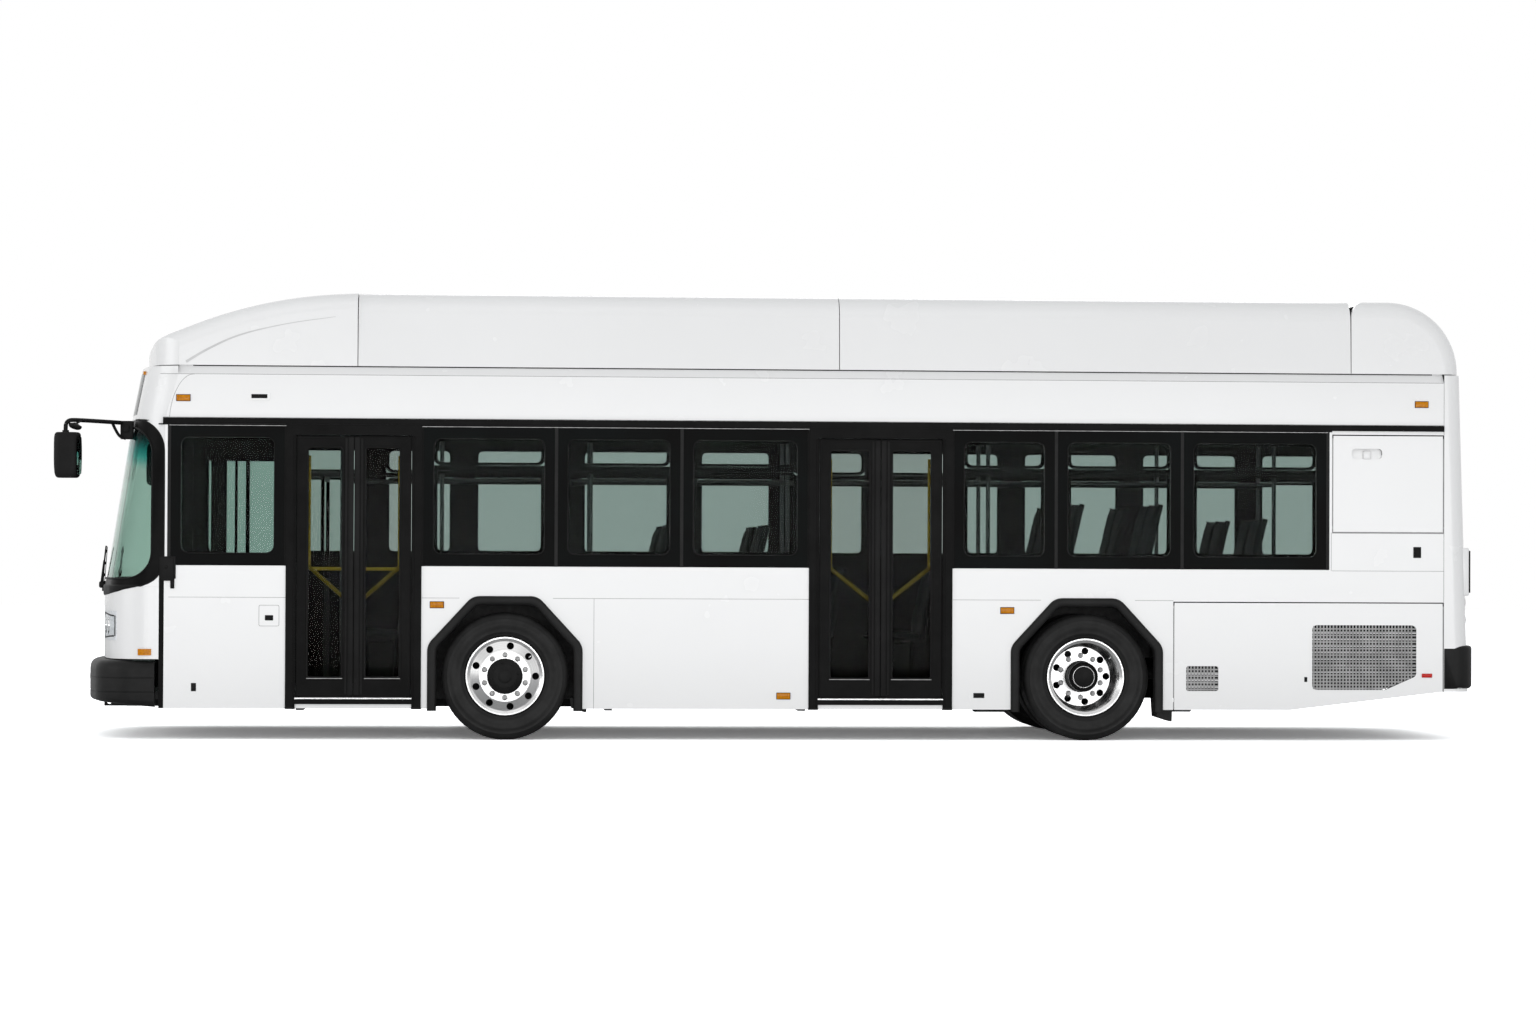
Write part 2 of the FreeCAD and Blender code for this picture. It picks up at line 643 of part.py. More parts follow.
def layer(side, depth, thick):
    """The Y range of a layer that starts at a depth under a side's skin."""
    outer, inner = (half_width - depth) * side, (half_width - depth - thick) * side
    return (outer, inner) if side < 0 else (inner, outer)


def arch_loop(axle, grow, bottom):
    """The six-sided wheel arch, open below, drawn in from its outer edge by grow."""
    half = D.arch_half_width - grow
    top = D.arch_top - grow
    # a slanted side moves in by the same amount when its ends move by these shares
    flat = D.arch_flat_half - grow * 0.43
    shoulder = D.arch_top - D.arch_slope - grow * 0.42
    return [
        (axle - half, bottom), (axle - half, shoulder, D.arch_round), (axle - flat, top, D.arch_round),
        (axle + flat, top, D.arch_round), (axle + half, shoulder, D.arch_round), (axle + half, bottom),
    ]


def window_holes(panes):
    return [rectangle(at(a) + D.window_margin, at(b) - D.window_margin, D.window_bottom, D.window_top,
                      D.window_round) for a, b in panes]


def wall_blank(name, side, panes, extra):
    """A side wall on the -Y side (side = -1) or the +Y side (side = 1), with its holes."""
    low, high = layer(side, 0, D.wall)
    outline = [
        (at(D.pillar_station), D.skirt_height), (at(D.skirt_rise_station), D.skirt_height),
        (rear_seam, D.rear_cap_bottom), (rear_seam, D.cantrail_height),
        (at(D.header_rear), D.cantrail_height), (at(D.pillar_station), D.screen_top)]
    body = pad(name, "side", low, high, outline)
    below = D.skirt_height - BEYOND
    holes = [arch_loop(front_axle, 0, below), arch_loop(rear_axle, 0, below), *window_holes(panes), *extra]
    for i, hole in enumerate(holes):
        pocket(body, f"{name}_hole{i}", "side", low, high, hole)
    rebates = [rectangle(at(a) + D.pane_gap / 2, at(b) - D.pane_gap / 2, D.band_bottom, D.band_top)
               for a, b in panes]
    pocket(body, name + "_rebate", "side", *layer(side, 0, D.pane_recess + D.glass + D.pane_bond), *rebates)
    return body


def glass_row(name, side, panes):
    """Panes that lie in the wall's rebate, a little under the skin."""
    gap = D.pane_gap / 2 + D.pane_bond
    return [pad(f"{name}_{i}", "side", *layer(side, D.pane_recess, D.glass),
                rectangle(at(a) + gap, at(b) - gap, D.band_bottom + D.pane_bond, D.band_top - D.pane_bond))
            for i, (a, b) in enumerate(panes)]


def transom_row(name, side, panes):
    """A bar across each passenger window, behind the glass."""
    depth = D.pane_recess + D.glass + D.pane_bond
    middle = D.window_top - D.transom_drop
    return [box(f"{name}_{i}", at(a) + D.window_margin, at(b) - D.window_margin,
                *layer(side, depth, D.wall - depth),
                middle - D.transom_height / 2, middle + D.transom_height / 2)
            for i, (a, b) in enumerate(panes)]


def walls():
    below = D.skirt_height - BEYOND
    doors = [rectangle(at(s), at(s) + w, below, D.door_top + D.door_header) for _, s, w in DOORS]
    lids = [
        rectangle(at(D.side_lid_station), rear_seam + BEYOND, below, D.panel_line),
        rectangle(at(D.upper_lid_station), rear_seam + BEYOND, D.upper_lid_bottom, D.upper_lid_top),
    ]
    for word, side, panes in SIDES:
        keep(f"side_wall_{word}", wall_blank(f"{word}_wall", side, panes, doors + lids if side < 0 else []))
    inset = D.pane_bond
    back = common("rear_window_pane", tail_wall("rear_window_wall", D.pane_recess, D.pane_recess + D.glass),
                  tail_region("rear_window_region", D.rear_window_half - inset, D.rear_window_bottom + inset,
                              D.rear_window_top - inset, D.window_round))
    rows = [pane for word, side, panes in SIDES for pane in glass_row(f"{word}_pane", side, panes)]
    keep("window_glass", group("window_glass_set", *rows, back))
    keep("window_transoms", group("transom_set", *[
        bar for word, side, panes in SIDES for bar in transom_row(f"{word}_transom", side, panes[1:])]))

    gutter = box("gutter_near", at(D.pillar_station) - D.gutter_proud, rear_seam,
                 -half_width - D.gutter_proud,
                 -half_width, D.band_top, D.band_top + D.gutter_height)
    keep("gutter_rails", group("gutter_pair", gutter, mirrored("gutter_far", gutter)))

    trims = []
    for name, axle in (("front", front_axle), ("rear", rear_axle)):
        bottom = D.skirt_height - D.arch_trim_drop
        outline = arch_loop(axle, 0, bottom) + arch_loop(axle, D.arch_trim, bottom)[::-1]
        trims.append(pad(f"{name}_trim", "side", -half_width - D.arch_trim_proud, -inside, outline))
    keep("wheel_arch_trims", group("arch_trims", *both_sides(trims)))


# ---------------------------------------------------------------- roof

def shroud_section(base, wall):
    """The roof shroud's cross-section: near-upright sides, rounded shoulders and a flat top."""
    side, top, lean = shroud_side, D.roof_height, D.shroud_lean
    inner_side, inner_top = side - wall, top - wall
    return [
        (-side, base), (-side + lean, top, D.shroud_round), (side - lean, top, D.shroud_round), (side, base),
        (inner_side, base), (inner_side - lean, inner_top, D.shroud_round - wall),
        (-inner_side + lean, inner_top, D.shroud_round - wall), (-inner_side, base),
    ]


def rounded_edges(body, radius, chosen):
    """Rounds the edges of a body's last feature that a test picks."""
    doc.recompute()
    base = body.Tip
    names = [f"Edge{i}" for i, e in enumerate(base.Shape.Edges, start=1) if chosen(e)]
    made = body.newObject("PartDesign::Fillet", body.Name + "_rounds")
    made.Base = (base, names)
    made.setExpression("Radius", dim(radius).text)
    return made


def shoulder_test(side, base):
    """Picks the edges along the top of a side face, but not its foot or its upright ends."""

    def chosen(edge):
        ends = [v.Point for v in edge.Vertexes]
        on_side = all(abs(abs(p.y) - side.value) < 0.1 for p in ends)
        low = min(p.z for p in ends) < base.value + 0.1
        upright = abs(ends[0].x - ends[-1].x) < 0.1
        flat_foot = low and abs(ends[0].z - ends[-1].z) < 0.1
        return on_side and not flat_foot and not (upright and low)

    return chosen


def rounded_block(name, side, radius, base, outline):
    """A side-view outline across the roof, with its shoulders rounded."""
    block = pad(name, "side", -side, side, outline)
    rounded_edges(block, radius, shoulder_test(side, dim(base)))
    return block


def roof():
    bevel = D.roof_bevel
    panel = pad("roof_panel_blank", "end", at(D.header_rear), rear_seam, [
        (-half_width, D.cantrail_height), (-half_width + bevel, D.roof_top), (half_width - bevel, D.roof_top),
        (half_width, D.cantrail_height), (inside, D.cantrail_height),
        (inside - bevel, D.roof_top - D.wall), (-inside + bevel, D.roof_top - D.wall),
        (-inside, D.cantrail_height)])
    curb_out = shroud_side - D.curb_inset
    curb = box("curb_near", at(D.header_rear), rear_seam, -curb_out, -curb_out + D.curb_width,
               D.roof_top - D.wall / 2, D.shroud_base)
    keep("roof_panel", fuse("roof_with_curbs", panel, curb, mirrored("curb_far", curb)))

    half_gap = D.shroud_gap / 2
    lengths = (("fore", D.split_front, D.split_middle), ("aft", D.split_middle, D.split_rear))
    keep("roof_shroud", group("shroud_lengths", *[
        pad(f"shroud_{word}", "end", at(a) + half_gap, at(b) - half_gap,
            shroud_section(D.shroud_base, D.shroud_wall))
        for word, a, b in lengths]))

    side, wall, base, top = shroud_side, D.shroud_wall, D.shroud_base, D.roof_height
    # the dome's long shallow face is drawn on behind its end, and trimmed off there
    run_on = D.dome_crown_drop * BEYOND / (D.split_front - half_gap - D.dome_crown_station)
    dome_rear = at(D.split_front) - half_gap
    knee, crown = base + D.dome_knee_rise, top - D.dome_crown_drop
    # the face below the knee is drawn on to well under the base, and trimmed off there
    steep = (D.dome_knee_station - D.dome_foot) / D.dome_knee_rise
    under = base - DOME_FOOTING
    dome = rounded_block("dome_blank", side, D.dome_edge_round, under, [
        (at(D.dome_foot) - steep * DOME_FOOTING, under), (at(D.dome_knee_station), knee, D.dome_knee_round),
        (at(D.dome_crown_station), crown, D.dome_crown_round), (dome_rear + BEYOND, top + run_on),
        (dome_rear + BEYOND, under)])
    plan = fuse("dome_plan_whole",
                leaning_block("dome_plan", D.dome_foot, 0, base, top + BEYOND, D.shroud_inset),
                box("dome_plan_rear", at(D.header_rear), dome_rear, -side, side, base, top + BEYOND))
    core = rounded_block("dome_core", side - wall, D.dome_edge_round - wall, base - wall, [
        (at(D.dome_foot) + wall * 2, base - wall), (at(D.dome_knee_station) + wall * 2, knee - wall,
                                                    D.dome_knee_round / 2),
        (at(D.dome_crown_station) + wall, crown - wall * 1.4, D.dome_crown_round),
        (dome_rear + BEYOND, top - wall),
        (dome_rear + BEYOND, base - wall)])
    core_plan = fuse("dome_core_whole",
                     leaning_block("dome_core_plan", D.dome_foot, 0, base - wall, top, D.shroud_inset + wall),
                     box("dome_core_rear", at(D.header_rear), dome_rear + BEYOND, -side + wall, side - wall,
                         base - wall, top))
    keep("roof_dome", cut("dome_shell", common("dome_skin", dome, plan),
                          common("dome_hollow", core, core_plan)))

    tail_front = at(D.split_rear) + half_gap
    tail_end = at(D.tail_station)
    tail = rounded_block("tail_blank", side, D.dome_edge_round, base, [
        (tail_front, base), (tail_front, top), (tail_end, top, D.rear_dome_round), (tail_end, base)])
    tail_core = rounded_block("tail_core", side - wall, D.dome_edge_round - wall, base - wall, [
        (tail_front - wall, base - wall), (tail_front - wall, top - wall),
        (tail_end - wall, top - wall, D.rear_dome_round - wall), (tail_end - wall, base - wall)])
    keep("roof_tail", cut("tail_shell", tail, tail_core))


DOME_FOOTING = 200   # how far the dome's face is drawn on below its base


# ---------------------------------------------------------------- rear end

def leaning_tail(name, low, high, inset):
    """The rear end's plan, square with rounded corners, raised with a slight forward lean."""
    low, high, inset = dim(low), dim(high), dim(inset)
    tail = at(D.body_length - D.rear_bumper_reach) - inset
    side = half_width - inset
    corner = D.rear_corner_round - inset
    body = pad(name, "plan", low, high, [
        (rear_seam - BEYOND, -side), (tail, -side, corner), (tail, side, corner), (rear_seam - BEYOND, side)])
    raised = body.Tip
    raised.UseCustomVector = True
    raised.AlongSketchNormal = True
    raised.Direction = V(-D.tail_lean.value, 0, (high - low).value)
    raised.setExpression("Direction.x", f"0 - {D.tail_lean.text}")
    raised.setExpression("Direction.z", (high - low).text)
    return body


def tail_wall(name, outer, inner):
    low, high = D.rear_cap_bottom, D.roof_top
    return cut(name, leaning_tail(name + "_out", low, high, outer),
               leaning_tail(name + "_in", low, high, inner))


def tail_region(name, half, low, high, corner=0):
    """A region of the rear end, seen from behind."""
    return pad(name, "end", rear_seam + D.rear_corner_round, at(D.body_length) + BEYOND,
               rectangle(-half, half, low, high, corner))


def hinge_pins(name, axis, starts, length, x, y, z):
    """Two short pins in line, one at each end of a lid or leaf."""
    places = {"X": lambda v: (v, y, z), "Y": lambda v: (x, v, z), "Z": lambda v: (x, y, v)}
    pins = [rod(f"{name}_{i}", axis, places[axis](start), D.pivot_radius, length)
            for i, start in enumerate(starts)]
    holes = [rod(f"{name}_hole{i}", axis, places[axis](start - D.pivot_gap), D.pivot_radius + D.pivot_gap,
                 length + D.pivot_gap * 2)
             for i, start in enumerate(starts)]
    return pins, holes


REAR_LAMPS = ("reverse", "turn", "brake")   # from the lowest up
LOUVRES = 6


def rear_lamp_blocks():
    """Where the rear lamps lie in the rear wall, one above the other on each side."""
    outer = half_width - D.tail_lamp_inset
    blocks = []
    for i, word in enumerate(REAR_LAMPS):
        low = D.rear_lid_bottom + D.rear_lid_margin * 2.5 + D.tail_lamp_pitch * i
        blocks.append(box(f"tail_lamp_{word}", rear_seam + D.rear_corner_round, at(D.body_length), -outer,
                          -outer + D.tail_lamp_width, low, low + D.tail_lamp_height))
    return both_sides(blocks)


def rear_end():
    gap = D.lid_gap
    lid_hole = tail_region("rear_lid_hole", D.rear_lid_half_width, D.rear_lid_bottom, D.rear_lid_top)
    window_hole = tail_region("rear_window_hole", D.rear_window_half, D.rear_window_bottom, D.rear_window_top,
                              D.window_round)
    lamps = common("tail_lamp_set", tail_wall("lamp_ring", -D.tail_lamp_proud, D.wall * 0.7),
                   group("tail_lamp_blocks", *rear_lamp_blocks()))
    keep("tail_lamps", lamps)

    hinge_x = at(D.rear_hinge_station)
    hinge_z = D.rear_lid_top - gap - D.lid_hinge_inset
    half = D.rear_lid_half_width
    pins, holes = hinge_pins("rear_lid_pin", "Y", (-half + gap - D.lid_pin_length, half - gap),
                             D.lid_pin_length,
                             hinge_x, dim(0), hinge_z)
    start, end = rear_seam + D.joint_gap, at(D.body_length) + BEYOND
    cap = common("rear_cap_trimmed", tail_wall("rear_cap_wall", 0, D.wall),
                 box("rear_cap_keep", start, end, -half_width, half_width, D.rear_cap_bottom, D.roof_top))
    closing = common("rear_cap_roof",
                     leaning_tail("rear_cap_roof_block", D.rear_cap_bottom, D.roof_top, D.wall * 0.6),
                     box("rear_cap_roof_keep", start, end, -half_width, half_width, D.roof_top - D.wall,
                         D.roof_top))
    keep("rear_cap", cut("rear_cap_open", fuse("rear_cap_whole", cap, closing), lid_hole, window_hole, lamps,
                         *holes))

    lid = common("rear_lid_skin", tail_wall("rear_lid_wall", 0, D.lid_thickness),
                 tail_region("rear_lid_region", half - gap, D.rear_lid_bottom + gap, D.rear_lid_top - gap))
    hood_top = D.rear_lid_top - D.hood_drop
    hood_bottom = hood_top - D.hood_height
    hood = common("rear_lid_hood", tail_wall("rear_hood_wall", -D.hood_proud, D.lid_thickness / 2),
                  tail_region("rear_hood_region", D.hood_half_width, hood_bottom, hood_top))
    louvres = []
    for i in range(LOUVRES):
        low = hood_bottom + D.louvre_margin + D.louvre_pitch * i
        louvres.append(tail_region(f"rear_louvre{i}", D.hood_half_width - D.louvre_margin, low,
                                   low + D.louvre_gap))
    keep("engine_lid_rear", fuse("rear_lid_pinned", cut("rear_lid_open", fuse("rear_lid_whole", lid, hood),
                                                        *louvres),
                                 *pins))


# ---------------------------------------------------------------- side lids

def lid_blank(name, outline):
    return pad(name, "side", -half_width, -half_width + D.lid_thickness, outline)


def grille(name, u0, u1, low, high):
    """Level bars across a hole in a lid, let a little way into its edges."""
    count = int((high.value - low.value) / D.grille_pitch.value)
    recess, let_in = D.grille_recess, D.panel_joint * 5
    return [box(f"{name}{i}", u0 - let_in, u1 + let_in, -half_width + recess,
                -half_width + D.lid_thickness - recess,
                low + D.grille_pitch * (i + 0.5), low + D.grille_pitch * (i + 0.5) + D.grille_bar)
            for i in range(count)]


def side_lids():
    gap = D.lid_gap
    front, rear = at(D.side_lid_station) + gap, rear_seam - gap
    hinge_y = -half_width + D.lid_hinge_depth
    inset = D.lid_hinge_inset
    r = D.grille_round
    u1 = rear_seam - D.grille_inset
    u0 = u1 - D.grille_length
    low, high = D.rear_cap_bottom + D.grille_foot, D.panel_line - D.grille_drop
    big = [(u0, low, r), (u1 - D.grille_clip_length, low, r), (u1, low + D.grille_clip, r), (u1, high, r),
           (u0, high, r)]
    v0 = at(D.side_lid_station) + D.vent_inset
    v1 = v0 + D.vent_length
    vent_low = D.skirt_height + D.vent_rise
    vent_high = vent_low + D.vent_height
    lower = lid_blank("side_lid_blank", [
        (front, D.skirt_height), (at(D.skirt_rise_station), D.skirt_height), (rear, D.rear_cap_bottom),
        (rear, D.panel_line - gap), (front, D.panel_line - gap)])
    pocket(lower, "side_lid_grille", "side", -half_width, -inside, big)
    pocket(lower, "side_lid_vent", "side", -half_width, -inside,
           rectangle(v0, v1, vent_low, vent_high, r / 2))
    pins, low_holes = hinge_pins("side_lid_pin", "X", (front - D.lid_pin_length, rear), D.lid_pin_length,
                                 dim(0), hinge_y, D.panel_line - gap - inset)
    bars = grille("side_bar", u0, u1, low + D.grille_clip, high) + grille("vent_bar", v0, v1, vent_low,
                                                                          vent_high)
    keep("engine_lid_side", fuse("side_lid_pinned", lower, *bars, *pins))

    front = at(D.upper_lid_station) + gap
    bottom, top = D.upper_lid_bottom + gap, D.upper_lid_top - gap
    upper = lid_blank("upper_lid_blank", rectangle(front, rear, bottom, top))
    middle = at(D.rear_seam_station - D.upper_lid_length * 0.69)
    handle = D.upper_lid_top - D.handle_height * 1.9
    pocket(upper, "upper_lid_handle", "side", -half_width, -half_width + D.handle_depth,
           rectangle(middle - D.handle_length / 2, middle + D.handle_length / 2, handle - D.handle_height / 2,
                     handle + D.handle_height / 2, D.handle_height * 0.375))
    pins, high_holes = hinge_pins("upper_lid_pin", "X", (front - D.lid_pin_length, rear), D.lid_pin_length,
                                  dim(0), hinge_y, bottom + inset)
    keep("service_lid_side", fuse("upper_lid_pinned", upper, *pins))
    for node, holes in (("side_wall_left", (low_holes[0], high_holes[0])),
                        ("rear_cap", (low_holes[1], high_holes[1]))):
        keep(node, cut(node + "_bored", NODES[node], *holes))


# ---------------------------------------------------------------- passenger doors



def leaf_places(station, width):
    """Each leaf's hinge edge, free edge and the way its hinge lies from its middle."""
    first, last = at(station) + D.jamb + D.leaf_gap, at(station) + width - D.jamb - D.leaf_gap
    middle = at(station) + width / 2
    return (("fore", first, middle - D.leaf_meeting_gap / 2, 1),
            ("aft", last, middle + D.leaf_meeting_gap / 2, -1))


def leaf(name, hinge_edge, free_edge, way):
    """One door leaf: a framed pane, with pins above and below its hinge edge and a bar inside."""
    skin = -half_width + D.leaf_recess
    back = skin + D.leaf_thickness
    low, high = D.door_sill + D.leaf_gap, D.door_top - D.leaf_gap
    edges = (hinge_edge, free_edge) if way > 0 else (free_edge, hinge_edge)
    pane = rectangle(edges[0] + D.leaf_stile, edges[1] - D.leaf_stile, low + D.leaf_bottom_rail,
                     high - D.leaf_top_rail, D.window_round / 2)
    panel = pad(name + "_panel", "side", skin, back, rectangle(*edges, low, high))
    pocket(panel, name + "_window", "side", skin, back, pane)
    front_face = skin + D.leaf_glass_recess
    glass = pad(name + "_glass", "side", front_face, front_face + D.glass, pane)
    hinge_x = hinge_edge + D.hinge_inset * way
    pins, holes = hinge_pins(name + "_pin", "Z", (low - D.pivot_length, high), D.pivot_length,
                             hinge_x, -half_width + D.leaf_recess + D.hinge_depth, dim(0))
    out = back + D.bar_standoff
    bar_high = D.floor_top + D.bar_rise
    high_end = (hinge_edge + (D.leaf_stile - D.bar_inset) * way, bar_high)
    low_end = (free_edge - (D.leaf_stile - D.bar_inset) * way, bar_high - D.bar_fall)
    bar = strut(name + "_bar", D.bar_radius,
                (high_end[0], back, high_end[1]), (high_end[0], out, high_end[1]),
                (low_end[0], out, low_end[1]), (low_end[0], back, low_end[1]))
    keep(f"door_{name}", fuse(name + "_whole", panel, bar, *pins))
    keep(f"door_glass_{name}", glass)
    return holes


def doors():
    frames = []
    for name, station, width in DOORS:
        holes = [hole for side, hinge, free, way in leaf_places(station, width)
                 for hole in leaf(f"{name}_{side}", hinge, free, way)]
        a, b, outer = at(station), at(station) + width, -half_width - D.frame_proud
        top = D.door_top + D.door_header
        foot = D.skirt_height - D.jamb_drop
        jambs = [box(f"{name}_jamb_a", a, a + D.jamb, outer, -inside, foot, top),
                 box(f"{name}_jamb_b", b - D.jamb, b, outer, -inside, foot, top)]
        header = box(f"{name}_header", a, b, outer, -inside, D.door_top, top)
        sill = box(f"{name}_sill", a, b, outer, -inside, D.door_sill - D.sill_depth, D.door_sill)
        frames.append(cut(f"{name}_frame", fuse(f"{name}_frame_whole", *jambs, header, sill), *holes))
    keep("door_frames", group("door_frame_pair", *frames))


# ---------------------------------------------------------------- floor and underframe

def housing(name, axle, reach, low):
    """A wheel housing: its block, and the wheel's space inside that block, open below and outward."""
    half, wall, top = D.housing_half_length, D.housing_wall, D.housing_top
    block = box(f"{name}_housing", axle - half, axle + half, -inside, -reach + wall, low, top)
    space = box(f"{name}_space", axle - half + wall, axle + half - wall, -half_width - BEYOND, -reach,
                low - BEYOND,
                top - wall)
    return block, space


def floor():
    """The deck in sections, with 1 mm joints, and the four wheel housings."""
    thick, low, deck, bench = D.floor_thickness, D.floor_top, D.deck_top, D.bench_top
    joint, wall = D.panel_joint, D.wall
    edge = inside - joint
    rear_edge = inside - D.lid_clearance
    step, riser = at(D.step_station), at(D.bench_station)
    rear_end_x = rear_seam - D.rail_end / 6
    clear = D.door_clearance
    notches = [box(f"{name}_notch", at(s) + D.jamb, at(s) + w - D.jamb, -half_width, -inside + clear,
                   low - thick * 2,
                   low + thick)
               for name, s, w in DOORS]
    fronts = housing("front", front_axle, front_housing_reach, low - thick)
    rears = housing("rear", rear_axle, rear_housing_reach, deck - D.housing_drop)
    blocks = both_sides([fronts[0], rears[0]])
    low_plate = fuse("low_plate",
                     box("cab_slab", at(D.cab_floor_station), at(D.header_rear), -D.cab_floor_half,
                         D.cab_floor_half,
                         low - thick, low),
                     box("low_slab", at(D.header_rear), step - joint, -edge, edge, low - thick, low))
    sections = [
        cut("low_section", low_plate, *notches, *blocks),
        cut("step_section", box("step_wall", step, step + wall, -edge, edge, low - thick, deck), *blocks),
        cut("deck_section", box("deck_slab", step + wall + joint, riser - joint, -edge, edge, deck - thick,
                                deck),
            *blocks),
        box("bench_wall", riser, riser + wall, -rear_edge, rear_edge, deck - thick, bench),
        box("bench_slab", riser + wall + joint, rear_end_x, -rear_edge, rear_edge, bench - thick, bench)]
    keep("floor", group("floor_sections", *sections))
    open_blocks = [cut(f"{name}_housing_open", block, space)
                   for name, (block, space) in (("front", fronts), ("rear", rears))]
    keep("wheel_housings", group("housing_set", *both_sides(open_blocks)))


def underframe():
    inner, wide, high = D.rail_inner, D.rail_width, D.rail_height
    low_top = D.floor_top - D.floor_thickness
    low, deck_top = low_top - high, D.deck_top - D.floor_thickness
    rail_rear = rear_seam - D.rail_end
    step, cab = at(D.step_station), at(D.cab_floor_station)
    cross = D.cross_width
    low_rail = box("low_rail", cab, step + wide, -inner - wide, -inner, low, low_top)
    post = box("kick_post", step + D.wall + D.panel_joint, step + D.wall + wide, -inner - wide, -inner, low,
               deck_top)
    foot = box("kick_foot", step, step + D.wall + wide, -inner - wide, -inner, low, low_top)
    deck_rail = box("deck_rail", step + D.wall + D.panel_joint, rail_rear, -inner - wide, -inner,
                    deck_top - high,
                    deck_top)
    stations = (D.door_front_station + wide, D.front_axle_station + D.housing_half_length + D.housing_room,
                D.door_rear_station - wide, D.step_station - wide)
    crosses = [box(f"cross_{i}", at(s), at(s) + cross, -inside + D.joint_gap, inside - D.joint_gap, low,
                   low_top)
               for i, s in enumerate(stations)]
    tail = box("cross_tail", rail_rear - cross, rail_rear, -inside + cross, inside - cross, deck_top - high,
               deck_top)
    lead = box("cross_lead", cab, cab + cross, -inner - wide, inner + wide, low, low_top)
    tows = []
    for i, y in enumerate((-D.tow_offset, D.tow_offset)):
        half = D.tow_plate / 2
        plate = box(f"tow_plate{i}", at(D.tow_station), cab + D.panel_joint, y - half, y + half, low, low_top)
        bore = rod(f"tow_bore{i}", "Y", (at(D.tow_station) + D.tow_eye_inset, y - D.tow_plate,
                                         low_top - high / 2),
                   D.tow_bore, D.tow_plate * 2)
        tows.append(cut(f"tow_eye{i}", plate, bore))
    keep("underframe", fuse("underframe_whole", *both_sides([low_rail, foot, post, deck_rail]), *crosses,
                            tail, lead,
                            *tows))
    clear = D.engine_clearance
    keep("engine_block", box("engine_box", at(D.bench_station) + D.wall + clear, rail_rear - cross - clear,
                             -D.engine_half, D.engine_half, D.floor_top + D.engine_lift,
                             D.bench_top - D.floor_thickness - clear))


# ---------------------------------------------------------------- axles and wheels

def axles():
    depth, z, half = D.beam_half_depth, axle_height, D.fist_half_height
    post_out = kingpin - D.fist_length
    post_in = post_out - D.beam_post_width
    beam_low = z - D.beam_drop
    beam_high = beam_low + D.beam_height
    rail_under = D.floor_top - D.floor_thickness - D.rail_height
    beam = box("beam_low", front_axle - depth, front_axle + depth, -post_out, post_out, beam_low, beam_high)
    post = box("beam_post", front_axle - depth, front_axle + depth, -post_out, -post_in, beam_low, z + half)
    fist = box("beam_fist", front_axle - D.eye_radius, front_axle + D.eye_radius, -kingpin, -post_in,
               z - half,
               z + half)
    eye = rod("beam_eye", "Z", (front_axle, -kingpin, z - half), D.eye_radius, half * 2)
    bore = rod("beam_bore", "Z", (front_axle, -kingpin, z - half * 2), D.kingpin_radius + D.pivot_gap,
               half * 4)
    spring = box("beam_seat", front_axle - depth, front_axle + depth, -D.rail_inner - D.rail_width,
                 -D.rail_inner,
                 beam_high, rail_under)
    keep("front_axle", cut("front_axle_bored", fuse("front_axle_whole", beam,
                                                    *both_sides([post, fist, eye, spring])),
                           *both_sides([bore])))

    spindle_reach = wheel_centre - D.rear_spindle_inset
    tube = rod("rear_tube", "Y", (rear_axle, -D.rear_tube_reach, z), D.axle_tube_radius,
               D.rear_tube_reach * 2)
    spindle = rod("rear_spindle", "Y", (rear_axle, -spindle_reach, z), D.rear_spindle_radius,
                  spindle_reach * 2)
    drive = rod("final_drive", "Y", (rear_axle, -D.final_drive_half, z), D.final_drive_radius,
                D.final_drive_half * 2)
    seat = box("rear_spring_seat", rear_axle - D.rail_width, rear_axle + D.rail_width,
               -D.rail_inner - D.rail_width,
               -D.rail_inner, z, D.deck_top - D.floor_thickness - D.rail_height)
    shaft_start = rear_axle + D.final_drive_radius - D.shaft_radius
    engine_front = at(D.bench_station) + D.wall + D.engine_clearance
    shaft = rod("propeller_shaft", "X", (shaft_start, dim(0), z), D.shaft_radius, engine_front - shaft_start)
    keep("rear_axle", fuse("rear_axle_whole", tube, spindle, drive, shaft, *both_sides([seat])))


def knuckles():
    z, half, plate = axle_height, D.fist_half_height, D.fork_plate
    gap, deep = D.fork_gap, D.eye_radius
    web_in = kingpin + deep + D.web_gap
    web_out = web_in + D.fork_web
    made = []
    for name, low in (("fork_low", z - half - gap - plate), ("fork_high", z + half + gap)):
        made.append(box(name, front_axle - deep, front_axle + deep, -web_out, -kingpin + deep, low,
                        low + plate))
    made.append(box("fork_web", front_axle - deep, front_axle + deep, -web_out, -web_in,
                    z - half - gap - plate, z + half + gap + plate))
    made.append(rod("kingpin_rod", "Z", (front_axle, -kingpin, z - half - gap - plate / 2), D.kingpin_radius,
                    half * 2 + gap * 2 + plate))
    tip = wheel_centre + D.spindle_reach
    made.append(rod("spindle_rod", "Y", (front_axle, -tip, z), D.spindle_radius,
                    tip - web_in - D.fork_web / 2))
    left = fuse("knuckle_near", *made)
    keep("knuckle_left", left)
    keep("knuckle_right", mirrored("knuckle_far", left))


HAND_HOLES = 9


def hand_holes(name, y0, y1, x, circle):
    made = []
    for i in range(HAND_HOLES):
        angle = math.radians(360 / HAND_HOLES * i)
        place = (x + circle * math.cos(angle), y0, axle_height + circle * math.sin(angle))
        made.append(rod(f"{name}_hole{i}", "Y", place, D.hand_hole_radius, y1 - y0))
    return made


